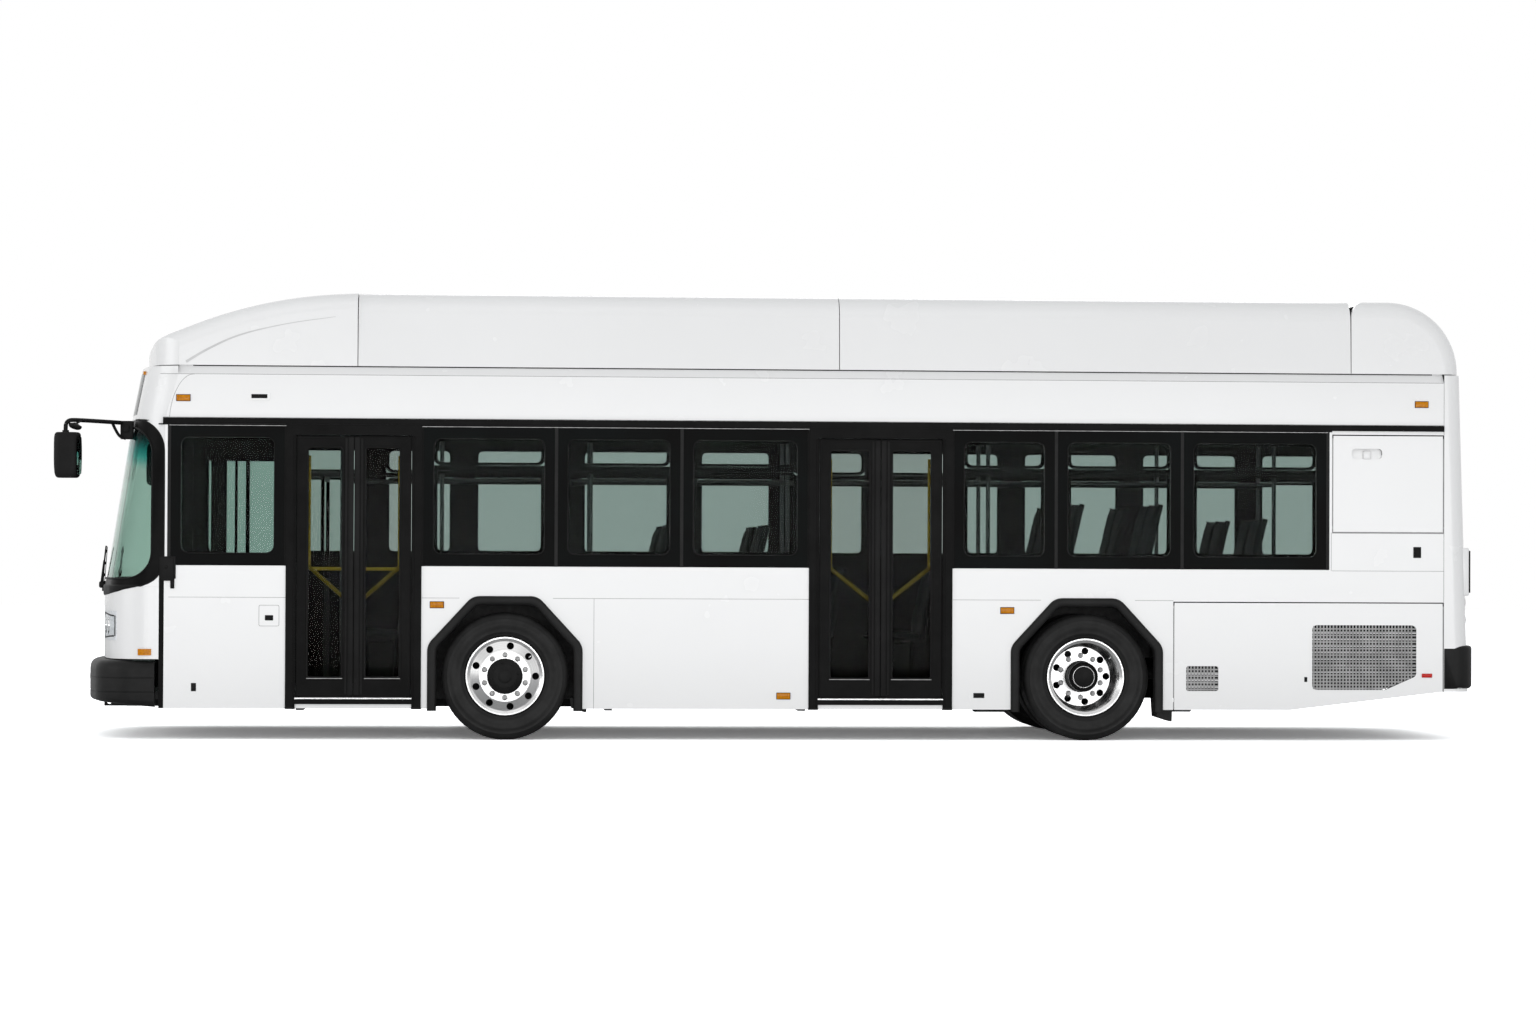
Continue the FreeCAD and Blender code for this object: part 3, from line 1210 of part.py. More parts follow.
def rim_outline(disc):
    """Radius and place along the axle, outward negative, of a rim whose disc corners are given."""
    r, w, lip = D.rim_radius, D.rim_width / 2, D.rim_lip / 2
    flange = w + D.rim_lip * 0.7
    bead = bead_radius
    return [(r - lip, -flange), (r, -flange), (r, -w), (bead, -w + lip), (bead, w - lip), (r, w), (r, flange),
            (r - lip, flange), *disc]


def tyre_outline():
    """Radius and place along the axle of a tyre that sits on its rim."""
    half, tread = D.tyre_width / 2, D.tyre_width / 2 - D.tyre_shoulder
    r, w, lip, top = D.rim_radius, D.rim_width / 2, D.rim_lip / 2, D.tyre_radius
    bulge = (r + top) / 2
    # one side, from the bead out to the tread: radius and distance from the tyre's middle
    side = [(bead_radius, w - lip), (r, w), (r + 14, w + 4), (r + 45, half - 8), (bulge, half),
            (top - 48, half - 4),
            (top - 10, tread + 6), (top, tread - 10)]
    return [(u, -v) for u, v in side] + side[::-1]


def wheels():
    z = axle_height
    bore = D.spindle_radius + D.bearing_gap
    bead, hub, inner = bead_radius, D.hub_radius, bead_radius - D.rim_lip * 0.75
    face, web = D.rim_width * 0.6, D.disc_web
    # the front disc stands out to the rim's edge, with a capped hub on it
    front_disc = [(inner, face * 0.8), (inner, -face * 0.66), (inner - 10, -face * 0.73), (hub * 1.47, -face),
                  (bore + 34, -face), (bore + 34, -26), (bore, -26), (bore, -face - 8), (0, -face - 8),
                  (0, -face - 50), (hub - 46, -face - 50), (hub, -face - 34), (hub, -face - web),
                  (hub * 1.47, -face - web), (inner, -face * 0.83)]
    rim = place(turned("front_rim_blank", rim_outline(front_disc)), front_axle, -wheel_centre, z)
    circle = D.rim_radius - D.hand_hole_inset
    rim = cut("front_rim_holed", rim, *hand_holes("front_rim", -wheel_centre - D.rim_width,
                                                  -wheel_centre - 60,
                                                  front_axle, circle))
    tyre = place(turned("front_tyre_blank", tyre_outline()), front_axle, -wheel_centre, z)
    for node, thing in (("rim_front", rim), ("tyre_front", tyre)):
        keep(node + "_left", thing)
        keep(node + "_right", mirrored(node + "_far", thing))

    # each rear disc is dished to half the dual spacing, where the two rims bolt together
    flat = D.dual_spacing / 2
    rear_disc = [(bead - 6, D.rim_width * 0.56), (250, flat), (120, flat), (120, flat - web),
                 (236, flat - web),
                 (inner, D.rim_width * 0.46), (inner, -D.rim_width * 0.48)]
    inner_centre = wheel_centre - D.dual_spacing
    outer_rim = place(turned("rear_rim_outer", rim_outline(rear_disc)), rear_axle, -wheel_centre, z)
    inner_rim = place(turned("rear_rim_inner", [(r, -v) for r, v in rim_outline(rear_disc)][::-1]), rear_axle,
                      -inner_centre, z)
    hub_bore = D.rear_spindle_radius + D.bearing_gap
    middle = wheel_centre - flat
    barrel, neck = hub - 26, hub - 18
    hub_body = place(turned("rear_hub", [
        (hub_bore, 130), (barrel, 130), (barrel, web), (125, web), (125, -web), (barrel, -web), (neck, -30),
        (neck, -165), (85, -190), (0, -190), (0, -175), (hub_bore, -175)]), rear_axle, -middle, z)
    holes = hand_holes("rear_rim", -middle - 60, -middle + 60, rear_axle, D.rim_radius - D.rear_hole_inset)
    rims = cut("rear_rims_holed", fuse("rear_rims_whole", outer_rim, inner_rim, hub_body), *holes)
    tyres = group("rear_tyre_pair", *[
        place(turned(f"rear_tyre_{word}", tyre_outline()), rear_axle, -centre, z)
        for word, centre in (("outer", wheel_centre), ("inner", inner_centre))])
    for node, thing in (("rims_rear", rims), ("tyres_rear", tyres)):
        keep(node + "_left", thing)
        keep(node + "_right", mirrored(node + "_far", thing))


# ---------------------------------------------------------------- cabin

def seat(name, front_edge, y0, y1, base, leg_foot):
    """A forward-facing seat or bench: cushion, leaning back and a pedestal."""
    x, foot = dim(front_edge), dim(leg_foot)
    deep, thick, lean = D.seat_depth, D.seat_pad, D.back_lean
    cushion = base + D.seat_height
    top = base + D.back_height
    profile = [
        (x, cushion - thick), (x + deep + 30, cushion - thick), (x + deep + thick + lean, top),
        (x + deep + lean - 10, top), (x + deep - 10, cushion), (x, cushion)]
    shell = pad(name + "_shell", "side", y0, y1, profile)
    middle, half = (dim(y0) + dim(y1)) / 2, D.seat_leg / 2
    leg = box(name + "_leg", x + deep / 3, x + deep * 0.9, middle - half, middle + half, foot,
              cushion - thick + D.panel_joint)
    return fuse(name, shell, leg)


def cabin():
    housing = D.housing_half_length
    arch_base = D.housing_top - D.seat_height + D.seat_pad * 2
    first = D.front_axle_station + housing + 102
    pitch = (D.step_station - first) / 4
    arch_first = D.rear_axle_station - housing + 62
    # Rows of double seats: name, station of the cushions' front edge, what they stand on, the height that the
    # seat is built up from, and the sides that have one.
    rows = [
        ("fore", D.door_front_station + 410, D.floor_top, D.floor_top, (1,)),
        *[(f"high{i}", first + pitch * i, D.floor_top, D.floor_top + D.seat_lift, (-1, 1)) for i in range(2)],
        *[(f"low{i}", first + pitch * i, D.floor_top, D.floor_top, (1,)) for i in range(2, 4)],
        *[(f"arch{i}", arch_first + 630 * i, D.housing_top, arch_base, (-1, 1)) for i in range(2)],
        ("deck", D.rear_axle_station + housing + 252, D.deck_top, D.deck_top, (-1, 1)),
    ]
    near, far = -inside + D.seat_gap_to_wall, -inside + D.seat_gap_to_wall + D.seat_width
    seats = []
    for word, station, foot, base, sides in rows:
        for side in sides:
            y0, y1 = (near, far) if side < 0 else (-far, -near)
            seats.append(seat(f"seat_{word}_{'near' if side < 0 else 'far'}", at(station), y0, y1, base,
                              foot))
    bench_base = D.bench_top - D.seat_height + D.seat_pad * 1.5
    seats.append(seat("bench_seat", at(D.bench_station) + 140, -inside + 60, inside - 60, bench_base,
                      D.bench_top))
    half = D.steering_wheel_radius + 25
    cab = at(D.pillar_station)
    seats.append(seat("driver_seat", cab + 391, D.driver_y - half, D.driver_y + half, D.floor_top + D.wall,
                      D.floor_top))
    keep("seats", group("seat_set", *seats))

    desk_front, desk_rear, low = cab - 339, cab - 59, D.floor_top
    desk = pad("desk", "side", D.driver_y - 470, D.driver_y + 330, [
        (desk_front, low), (desk_rear, low), (desk_rear, low + 540), (desk_rear + 40, low + 720),
        (desk_front + 60, low + 790), (desk_front, low + 700)])
    hub = (cab + 171, D.driver_y, low + 800)
    column = strut("steering_column", D.column_radius, (desk_rear - 40, D.driver_y, low + 600), hub)
    keep("dashboard", cut("desk_bored", desk, column))
    wheel_ring = doc.addObject("Part::Torus", "steering_ring")
    wheel_ring.Placement.Rotation = FreeCAD.Rotation(V(0, 1, 0), STEERING_TILT)
    bind(wheel_ring, Radius1=D.steering_wheel_radius, Radius2=D.steering_rim_radius,
         Placement__Base__x=hub[0],
         Placement__Base__y=hub[1], Placement__Base__z=hub[2])
    reach = D.steering_wheel_radius
    slope = math.radians(STEERING_TILT)
    rise, run = math.sin(slope), math.cos(slope)
    spokes = [
        strut("spoke_across", D.spoke_radius, (hub[0], hub[1] - reach, hub[2]),
              (hub[0], hub[1] + reach, hub[2])),
        strut("spoke_down", D.spoke_radius, hub, (hub[0] - reach * run, hub[1], hub[2] + reach * rise))]
    keep("steering_wheel", fuse("steering_whole", column, wheel_ring, *spokes))

    x0 = at(D.door_front_station) + 181
    x1 = x0 + D.partition
    y0, y1, post = D.driver_y - 330, inside - D.panel_joint * 5, D.partition_post
    head = D.floor_top + 1740
    keep("driver_partition", fuse(
        "partition_whole",
        box("partition_low", x0, x1, y0, y1, low, low + 890),
        box("partition_post", x0, x1, y0, y0 + post, low, head),
        box("partition_post_far", x0, x1, y1 - post, y1, low, head),
        box("partition_head", x0, x1, y0, y1, head - post, head)))
    grab_rails()


STEERING_TILT = -38


def grab_rails():
    """Upright poles, and level rails between them that stop just short of each pole."""
    r, joint = D.pole_radius, D.panel_joint
    level = D.roof_top - D.wall - D.rail_drop
    low, deck = D.floor_top, D.deck_top
    # Each side's poles: station and foot height.
    shared = ((D.front_axle_station + D.housing_half_length + 42, low), (D.door_rear_station - 100, low))
    deck_poles = ((D.step_station + 110, deck), (D.rear_axle_station + D.housing_half_length + 192, deck),
                  (D.bench_station - 60, deck))
    sets = (("near", -1, ((D.front_door_end + 136, low), *shared, (D.rear_door_end + 64, low), *deck_poles)),
            ("far", 1, ((D.door_front_station + 360, low), *shared, (D.step_station - 70, low), *deck_poles)))
    made = []
    for word, side, poles in sets:
        y = D.aisle_half * side
        for i, (station, foot) in enumerate(poles):
            made.append(rod(f"pole_{word}{i}", "Z", (at(station), y, foot), r, D.roof_top - D.wall - foot))
        for i, ((a, _), (b, _)) in enumerate(zip(poles, poles[1:])):
            start = at(a) + r + joint
            made.append(rod(f"rail_{word}{i}", "X", (start, y, level), r, at(b) - r - joint - start))
    keep("grab_rails", group("rail_sets", *made))


# ---------------------------------------------------------------- bumpers, mirrors, wipers and lamps

def bumpers():
    low, high, wall = D.bumper_bottom, D.bumper_top, D.bumper_wall
    brow = high - D.bumper_brow
    outer = fuse("bumper_out", leaning_block("bumper_face", 0, 0, low, brow, 0),
                 leaning_block("bumper_brow", 0, D.bumper_brow_lean, brow, high, 0))
    inner = leaning_block("bumper_in", 0, 0, low - BEYOND, high - D.bumper_deck, wall)
    well = leaning_block("bumper_well", D.mask_station, 0, low, high + BEYOND, D.bumper_well)
    shell = common("bumper_trimmed", cut("bumper_shell", outer, inner, well),
                   box("bumper_keep", at(0), at(D.bumper_rear), -half_width, half_width, low, high))
    holes = [rod(f"rack_hole{i}", "X", (at(-wall), y, D.bumper_bottom + D.rack_rise), D.rack_hole, wall * 3)
             for i, y in enumerate((-D.rack_half, D.rack_half))]
    keep("bumper_front", cut("bumper_bored", shell, *holes))

    low, high = D.rear_bumper_bottom, D.rear_bumper_top
    tail, start = at(D.body_length), rear_seam + D.joint_gap * 2
    whole = pad("rear_bumper_block", "plan", low, high, [
        (start, -half_width), (tail, -half_width, D.rear_bumper_round),
        (tail, half_width, D.rear_bumper_round),
        (start, half_width)])
    rounded_edges(whole, D.rear_bumper_skin * 2, lambda edge: all(
        abs(v.Point.z - high.value) < 0.1 for v in edge.Vertexes) and max(
        v.Point.x for v in edge.Vertexes) > (start + D.joint_gap).value)
    shell = cut("rear_bumper_shell", whole, rear_bumper_core(low, high))
    keep("bumper_rear", shell)
    keep("rear_cap", cut("rear_cap_seated", NODES["rear_cap"], shell))


def rear_bumper_core(low, high):
    """The space the rear bumper leaves for the rear end."""
    tail = at(D.body_length - D.rear_bumper_reach) + D.panel_joint
    side = half_width - D.rear_bumper_skin
    corner = D.rear_corner_round - D.rear_bumper_skin
    return pad("rear_bumper_core", "plan", low - BEYOND, high + BEYOND, [
        (rear_seam - BEYOND, -side), (tail, -side, corner), (tail, side, corner), (rear_seam - BEYOND, side)])


MIRROR_TURN = 10


def mirror_head(name, station, centre_y, turn):
    """A mirror's rounded upright case, turned about its middle by an angle."""
    turn = math.radians(turn)
    wide, deep = D.mirror_width / 2, D.mirror_depth / 2
    along = (math.sin(turn), -math.cos(turn))
    out = (-math.cos(turn), -math.sin(turn))
    corners = [(at(station) + wide * along[0] * a + deep * out[0] * b,
                centre_y + wide * along[1] * a + deep * out[1] * b, D.mirror_round)
               for a, b in ((-1, -1), (1, -1), (1, 1), (-1, 1))]
    return pad(name, "plan", D.mirror_high - D.mirror_height, D.mirror_high, corners)


def mirrors():
    r, z, top = D.mirror_arm_radius, D.mirror_arm_height, D.mirror_high
    centre = half_width + D.mirror_out
    station = D.mirror_setback - D.mirror_reach
    root_y = half_width - 140
    head = mirror_head("mirror_head", station, -centre, MIRROR_TURN)
    x, plate_y, plate_x = at(station), D.mirror_plate_y, at(D.mirror_plate_station)
    half = D.mirror_plate / 2
    plate = box("mirror_plate", plate_x, plate_x + D.mirror_plate_length, -plate_y - half, -plate_y + half,
                z - D.mirror_plate_drop, z + half)
    arm = strut("mirror_arm", r, (plate_x + half, -plate_y, z), (x + D.mirror_bend, -centre, z),
                (x, -centre, z - D.mirror_bend), (x, -centre, top - 20))
    stay = strut("mirror_stay", r * 0.7, (plate_x + half, -plate_y, z - D.mirror_plate_drop + half),
                 (plate_x - D.mirror_stay_run, -plate_y - D.mirror_stay_run / 2, z))
    spot = (x + D.spot_mirror_offset, -centre + half, z - D.spot_mirror_radius * 0.8)
    small = ball("mirror_small", spot, D.spot_mirror_radius)
    near = fuse("mirror_near", head, arm, stay, small, plate)

    far_x = at(D.far_mirror_station)
    far_head = mirror_head("far_mirror_head", D.far_mirror_station, centre, -MIRROR_TURN)
    far_arm = strut("far_mirror_arm", r, (at(560), root_y, z - 90), (far_x, centre, z),
                    (far_x, centre, top - 20))
    far = fuse("mirror_far", far_head, far_arm)
    trim = leaning_block("mirror_root_trim", D.mask_station, D.screen_lean, D.mask_top, D.screen_top, 0)
    keep("mirrors", group("mirror_pair", cut("mirror_near_trimmed", near, trim),
                          cut("mirror_far_trimmed", far, trim)))

    wipers = []
    foot_z, tip_z = D.mask_top + 15, D.mask_top + D.wiper_rise
    for i, (foot_y, tip_y) in enumerate(((-420, -520), (620, 520))):
        wipers.append(strut(f"wiper{i}", D.wiper_radius, (screen_point(foot_z, 26), dim(foot_y), foot_z),
                            (screen_point(tip_z, 30), dim(tip_y), tip_z)))
    keep("wipers", group("wiper_pair", *wipers))


def screen_point(height, proud):
    """Where the windscreen's middle lies at a height, plus how far out of it."""
    share = (height - D.mask_top) / (D.screen_top - D.mask_top)
    return at(D.mask_station) + D.screen_lean * share - proud


# Amber side lamps: station and height.
SIDE_LAMPS = (
    (D.band_station + 106, D.band_top + 200), (D.front_axle_station - 533, D.panel_line - 45),
    (D.door_rear_station - 197, D.skirt_height + 104), (D.rear_axle_station - 635, D.panel_line - 75),
    (D.rear_seam_station - 181, D.band_top + 216),
)


def lamps():
    half_long, half_high = D.lamp_length / 2, D.lamp_height / 2
    made = [box(f"side_lamp{i}", at(s) - half_long, at(s) + half_long, -half_width - D.lamp_proud,
                -half_width,
                z - half_high, z + half_high)
            for i, (s, z) in enumerate(SIDE_LAMPS)]
    keep("side_lamps", group("side_lamp_set", *both_sides(made)))


PARTS = (front_end, walls, roof, rear_end, side_lids, doors, floor, underframe, axles, knuckles, wheels,
         cabin,
         bumpers, mirrors, lamps)


def main():
    for make in PARTS:
        make()
    doc.recompute()
    broken = [o.Name for o in doc.Objects if {"Invalid", "Error"} & set(o.State)]
    if broken:
        raise RuntimeError(f"features that didn't build: {broken}")
    os.makedirs("parts", exist_ok=True)
    for node, thing in NODES.items():
        shape = thing.Shape
        if shape.isNull() or not shape.isValid():
            raise RuntimeError(f"{node} has no valid shape")
        shape.exportStep(f"parts/{node}.step")
    print(len(NODES), "sub-parts")


main()
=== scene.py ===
"""Looks of the city bus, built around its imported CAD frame. Lengths are in metres."""
import bmesh
import bpy
import math
from mathutils import Matrix, Vector


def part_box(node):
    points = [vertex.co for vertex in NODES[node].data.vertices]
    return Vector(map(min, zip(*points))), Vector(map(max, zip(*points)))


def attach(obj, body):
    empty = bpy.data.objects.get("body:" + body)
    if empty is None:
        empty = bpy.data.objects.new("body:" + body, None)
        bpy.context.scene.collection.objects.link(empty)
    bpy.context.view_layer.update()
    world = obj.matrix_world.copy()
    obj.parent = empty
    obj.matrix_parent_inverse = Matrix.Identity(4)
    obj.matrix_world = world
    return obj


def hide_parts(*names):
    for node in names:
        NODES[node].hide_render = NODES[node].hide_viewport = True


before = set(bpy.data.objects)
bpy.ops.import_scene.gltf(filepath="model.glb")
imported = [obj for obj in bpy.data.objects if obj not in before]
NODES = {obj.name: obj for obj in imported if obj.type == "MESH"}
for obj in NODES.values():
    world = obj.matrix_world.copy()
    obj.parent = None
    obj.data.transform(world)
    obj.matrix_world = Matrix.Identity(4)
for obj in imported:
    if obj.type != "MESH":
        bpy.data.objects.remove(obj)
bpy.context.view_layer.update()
scene = bpy.context.scene

# ---------------------------------------------------------------- places, from the frame's own boxes

SKIN = 1.295                       # half the body's width
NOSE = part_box("bumper_front")[0].x  # station 0
GROUND = 0.0


def at(station):
    """X of a place given in millimetres behind the front bumper."""
    return NOSE + station / 1000


def at_metres(station):
    """The same for a station given in metres."""
    return at(station * 1000)


AXLE_FRONT, AXLE_REAR, AXLE_Z = at(3318), at(7908), 0.499
SIDES = (-1, 1)                    # the near side, with the doors, and the far one
# The small lamps high on the front and the rear.
MARKER_YS, MARKER_Z = (-0.93, -0.15, 0.0, 0.15, 0.93), 2.868


# ---------------------------------------------------------------- camera, lights and floor

# Where the camera stands, how far it is turned (yaw, pitch and roll in degrees) and its lens, in millimetres.
CAMERA_AT, CAMERA_TURN, CAMERA_LENS = (-2.0035, -30.295, 1.41), (3.85, 0.76, 0.248), 86.62


def add_camera():
    """The photo's own view: a long lens, far off, a little turned."""
    data = bpy.data.cameras.new("camera")
    data.sensor_width = 36
    data.lens = CAMERA_LENS
    data.clip_end = 200
    camera = bpy.data.objects.new("camera", data)
    scene.collection.objects.link(camera)
    yaw, pitch, roll = (math.radians(v) for v in CAMERA_TURN)
    turn = (Matrix.Rotation(-yaw, 4, "Z") @ Matrix.Rotation(math.pi / 2 + pitch, 4, "X")
            @ Matrix.Rotation(roll, 4, "Z"))
    camera.matrix_world = Matrix.Translation(CAMERA_AT) @ turn
    scene.camera = camera


def add_light(name, place, target, size, power, size_y):
    """A rectangular lamp that looks at a target."""
    data = bpy.data.lights.new(name, "AREA")
    data.shape = "RECTANGLE"
    data.size, data.size_y = size, size_y
    data.energy = power
    light = bpy.data.objects.new(name, data)
    scene.collection.objects.link(light)
    light.location = place
    light.rotation_euler = (Vector(target) - Vector(place)).to_track_quat("-Z", "Y").to_euler()


def emptied(owner):
    """The node tree of a world or a material, its nodes cleared."""
    owner.use_nodes = True
    owner.node_tree.nodes.clear()
    return owner.node_tree


def wire(tree, *pairs):
    """Links, each from an output to an input."""
    for source, target in pairs:
        tree.links.new(source, target)


def shader_node(tree, kind, **values):
    """A node of a kind, with values on its inputs."""
    made = tree.nodes.new(kind)
    for key, value in values.items():
        made.inputs[key].default_value = value
    return made


def studio():
    """A white world for the camera and for clear or glossy rays, a dimmer one that lights, and four lamps."""
    scene.world = bpy.data.worlds.new("studio")
    tree = emptied(scene.world)
    out = tree.nodes.new("ShaderNodeOutputWorld")
    mix = tree.nodes.new("ShaderNodeMixShader")
    lit = shader_node(tree, "ShaderNodeBackground", Color=(0.97, 0.985, 1, 1), Strength=0.62)
    seen = shader_node(tree, "ShaderNodeBackground", Color=(1, 1, 1, 1), Strength=1.0)
    path = tree.nodes.new("ShaderNodeLightPath")
    either, both = tree.nodes.new("ShaderNodeMath"), tree.nodes.new("ShaderNodeMath")
    either.operation = both.operation = "MAXIMUM"
    wire(tree, (path.outputs["Is Camera Ray"], either.inputs[0]),
         (path.outputs["Is Transmission Ray"], either.inputs[1]), (either.outputs[0], both.inputs[0]),
         (path.outputs["Is Glossy Ray"], both.inputs[1]), (both.outputs[0], mix.inputs[0]),
         (lit.outputs[0], mix.inputs[1]), (seen.outputs[0], mix.inputs[2]),
         (mix.outputs[0], out.inputs["Surface"]))

    add_light("key", (-2, -11, 12), (0, 0, 1.5), 14, 130, 8)
    add_light("side", (1, -17, 1.7), (0, 0, 1.3), 21, 910, 3.2)
    add_light("nose", (-17, -7, 4), (-5, 0, 1.4), 8, 320, 6)
    add_light("back", (2, 14, 9), (0, 0, 1.5), 12, 330, 8)


def add_floor():
    """A white floor that shows brighter to the camera than the light it throws back on the bus."""
    bpy.ops.mesh.primitive_plane_add(size=160, location=(0, 0, GROUND))
    floor = bpy.context.object
    floor.name = "studio_floor"
    material = bpy.data.materials.new("studio_floor")
    tree = emptied(material)
    out = tree.nodes.new("ShaderNodeOutputMaterial")
    diffuse = shader_node(tree, "ShaderNodeBsdfDiffuse", Color=(0.8, 0.8, 0.8, 1))
    shown = shader_node(tree, "ShaderNodeBsdfDiffuse", Color=(2.6, 2.6, 2.6, 1))
    glow = shader_node(tree, "ShaderNodeEmission", Strength=0.085)
    bright = tree.nodes.new("ShaderNodeAddShader")
    path = tree.nodes.new("ShaderNodeLightPath")
    seen = tree.nodes.new("ShaderNodeMixShader")
    wire(tree, (shown.outputs[0], bright.inputs[0]), (glow.outputs[0], bright.inputs[1]),
         (path.outputs["Is Camera Ray"], seen.inputs[0]), (diffuse.outputs[0], seen.inputs[1]),
         (bright.outputs[0], seen.inputs[2]), (seen.outputs[0], out.inputs["Surface"]))
    floor.data.materials.append(material)


# ---------------------------------------------------------------- materials

class Shader:
    """A material being built: a Principled shader with nodes that feed it."""

    def __init__(self, name, metallic=0.0, coat=0.0, coat_roughness=0.1, specular=0.5, sheen=0.0):
        self.made = bpy.data.materials.new(name)
        self.made.use_nodes = True
        self.tree = self.made.node_tree
        self.main = self.tree.nodes["Principled BSDF"]
        for key, value in (("Metallic", metallic), ("Coat Weight", coat), ("Coat Roughness", coat_roughness),
                           ("Specular IOR Level", specular), ("Sheen Weight", sheen)):
            self.main.inputs[key].default_value = value
        self.places = self.tree.nodes.new("ShaderNodeTexCoord").outputs["Object"]

    def node(self, kind, **settings):
        made = self.tree.nodes.new(kind)
        for key, value in settings.items():
            if hasattr(made, key):
                setattr(made, key, value)
            else:
                made.inputs[key.replace("_", " ")].default_value = value
        return made

    def link(self, a, b):
        self.tree.links.new(a, b)

    def axis(self, name):
        """One of the place's own X, Y and Z."""
        split = self.node("ShaderNodeSeparateXYZ")
        self.link(self.places, split.inputs[0])
        return split.outputs[name]

    def maths(self, operation, source, other):
        """A sum on a socket and a socket or a number."""
        made = self.node("ShaderNodeMath", operation=operation)
        self.link(source, made.inputs[0])
        if isinstance(other, float):
            made.inputs[1].default_value = other
        else:
            self.link(other, made.inputs[1])
        return made.outputs[0]

    def mix(self, share, first, second):
        """Colours mixed by a share: first at 0, second (a socket or a colour) at 1."""
        made = self.node("ShaderNodeMix", data_type="RGBA")
        self.link(share, made.inputs["Factor"])
        self.link(first, made.inputs[6])
        if isinstance(second, tuple):
            made.inputs[7].default_value = second
        else:
            self.link(second, made.inputs[7])
        return made.outputs[2]

    def noise(self, scale, detail=3.0):
        made = self.node("ShaderNodeTexNoise", Scale=scale, Detail=detail)
        self.link(self.places, made.inputs["Vector"])
        return made.outputs["Fac"]

    def ramp(self, source, low, high, start=0.35, end=0.65):
        made = self.node("ShaderNodeValToRGB")
        made.color_ramp.elements[0].position, made.color_ramp.elements[1].position = start, end
        made.color_ramp.elements[0].color, made.color_ramp.elements[1].color = low, high
        self.link(source, made.inputs["Fac"])
        return made.outputs["Color"]

    def range(self, source, low, high):
        made = self.node("ShaderNodeMapRange", To_Min=low, To_Max=high)
        self.link(source, made.inputs["Value"])
        return made.outputs["Result"]

    def bump(self, source, strength, distance):
        made = self.node("ShaderNodeBump", Strength=strength, Distance=distance)
        self.link(source, made.inputs["Height"])
        previous = self.main.inputs["Normal"].links
        if previous:
            self.link(previous[0].from_socket, made.inputs["Normal"])
        self.link(made.outputs["Normal"], self.main.inputs["Normal"])

    def colour(self, socket):
        self.link(socket, self.main.inputs["Base Color"])

    def roughness(self, source, low, high):
        self.link(self.range(source, low, high), self.main.inputs["Roughness"])


def grey(v, tint=(1, 1, 1)):
    """A grey, tinted or not, as a colour."""
    return (v * tint[0], v * tint[1], v * tint[2], 1)


def speckled(name, low, high, rough, scale, fine, bump, **more):
    """Paint, plastic or rubber: a slow drift of colour, a finer one of roughness, and a fine texture."""
    made = Shader(name, **more)
    made.colour(made.ramp(made.noise(scale), low, high))
    made.roughness(made.noise(scale * 5), *rough)
    made.bump(made.noise(fine, 2.0), bump, 0.0006)
    return made.made


# The bus's long middle, from which outward is told: its ends and its height.
MIDDLE_ENDS, MIDDLE_Z = (at(1100), at(10300)), 1.8


def outward_mask(shader):
    """1 on faces that look away from the bus's long middle, 0 on faces that look into it."""
    along = shader.node("ShaderNodeClamp", Min=MIDDLE_ENDS[0], Max=MIDDLE_ENDS[1])
    shader.link(shader.axis("X"), along.inputs["Value"])
    middle = shader.node("ShaderNodeCombineXYZ", Z=MIDDLE_Z)
    shader.link(along.outputs["Result"], middle.inputs["X"])
    reach = shader.node("ShaderNodeVectorMath", operation="SUBTRACT")
    shader.link(shader.places, reach.inputs[0])
    shader.link(middle.outputs["Vector"], reach.inputs[1])
    facing = shader.node("ShaderNodeVectorMath", operation="DOT_PRODUCT")
    shader.link(reach.outputs["Vector"], facing.inputs[0])
    shader.link(shader.node("ShaderNodeTexCoord").outputs["Normal"], facing.inputs[1])
    return shader.maths("GREATER_THAN", facing.outputs["Value"], 0.0)


def body_paint():
    """White outside; inside, a near-black lining that is painted shade, which keeps the cabin dark behind the
    glass.
    """
    made = Shader("body_paint", coat=0.25)
    skin = made.ramp(made.noise(0.5, 1.0), grey(0.815), grey(0.832), 0.2, 0.8)
    # Painted shade: faces that look into the bus get a near-black colour and little gloss, standing for the
    # shade inside the cabin.
    shade_lining = made.ramp(made.noise(30), grey(0.0016, (0.85, 1, 0.95)), grey(0.003, (0.85, 1, 0.95)))
    outward = outward_mask(made)
    made.colour(made.mix(outward, shade_lining, skin))
    made.link(made.range(outward, 0.02, 0.5), made.main.inputs["Specular IOR Level"])
    made.link(made.range(outward, 0.0, 0.25), made.main.inputs["Coat Weight"])
    made.roughness(made.noise(3), 0.24, 0.29)
    made.bump(made.noise(260, 2.0), 0.02, 0.0004)
    return made.made


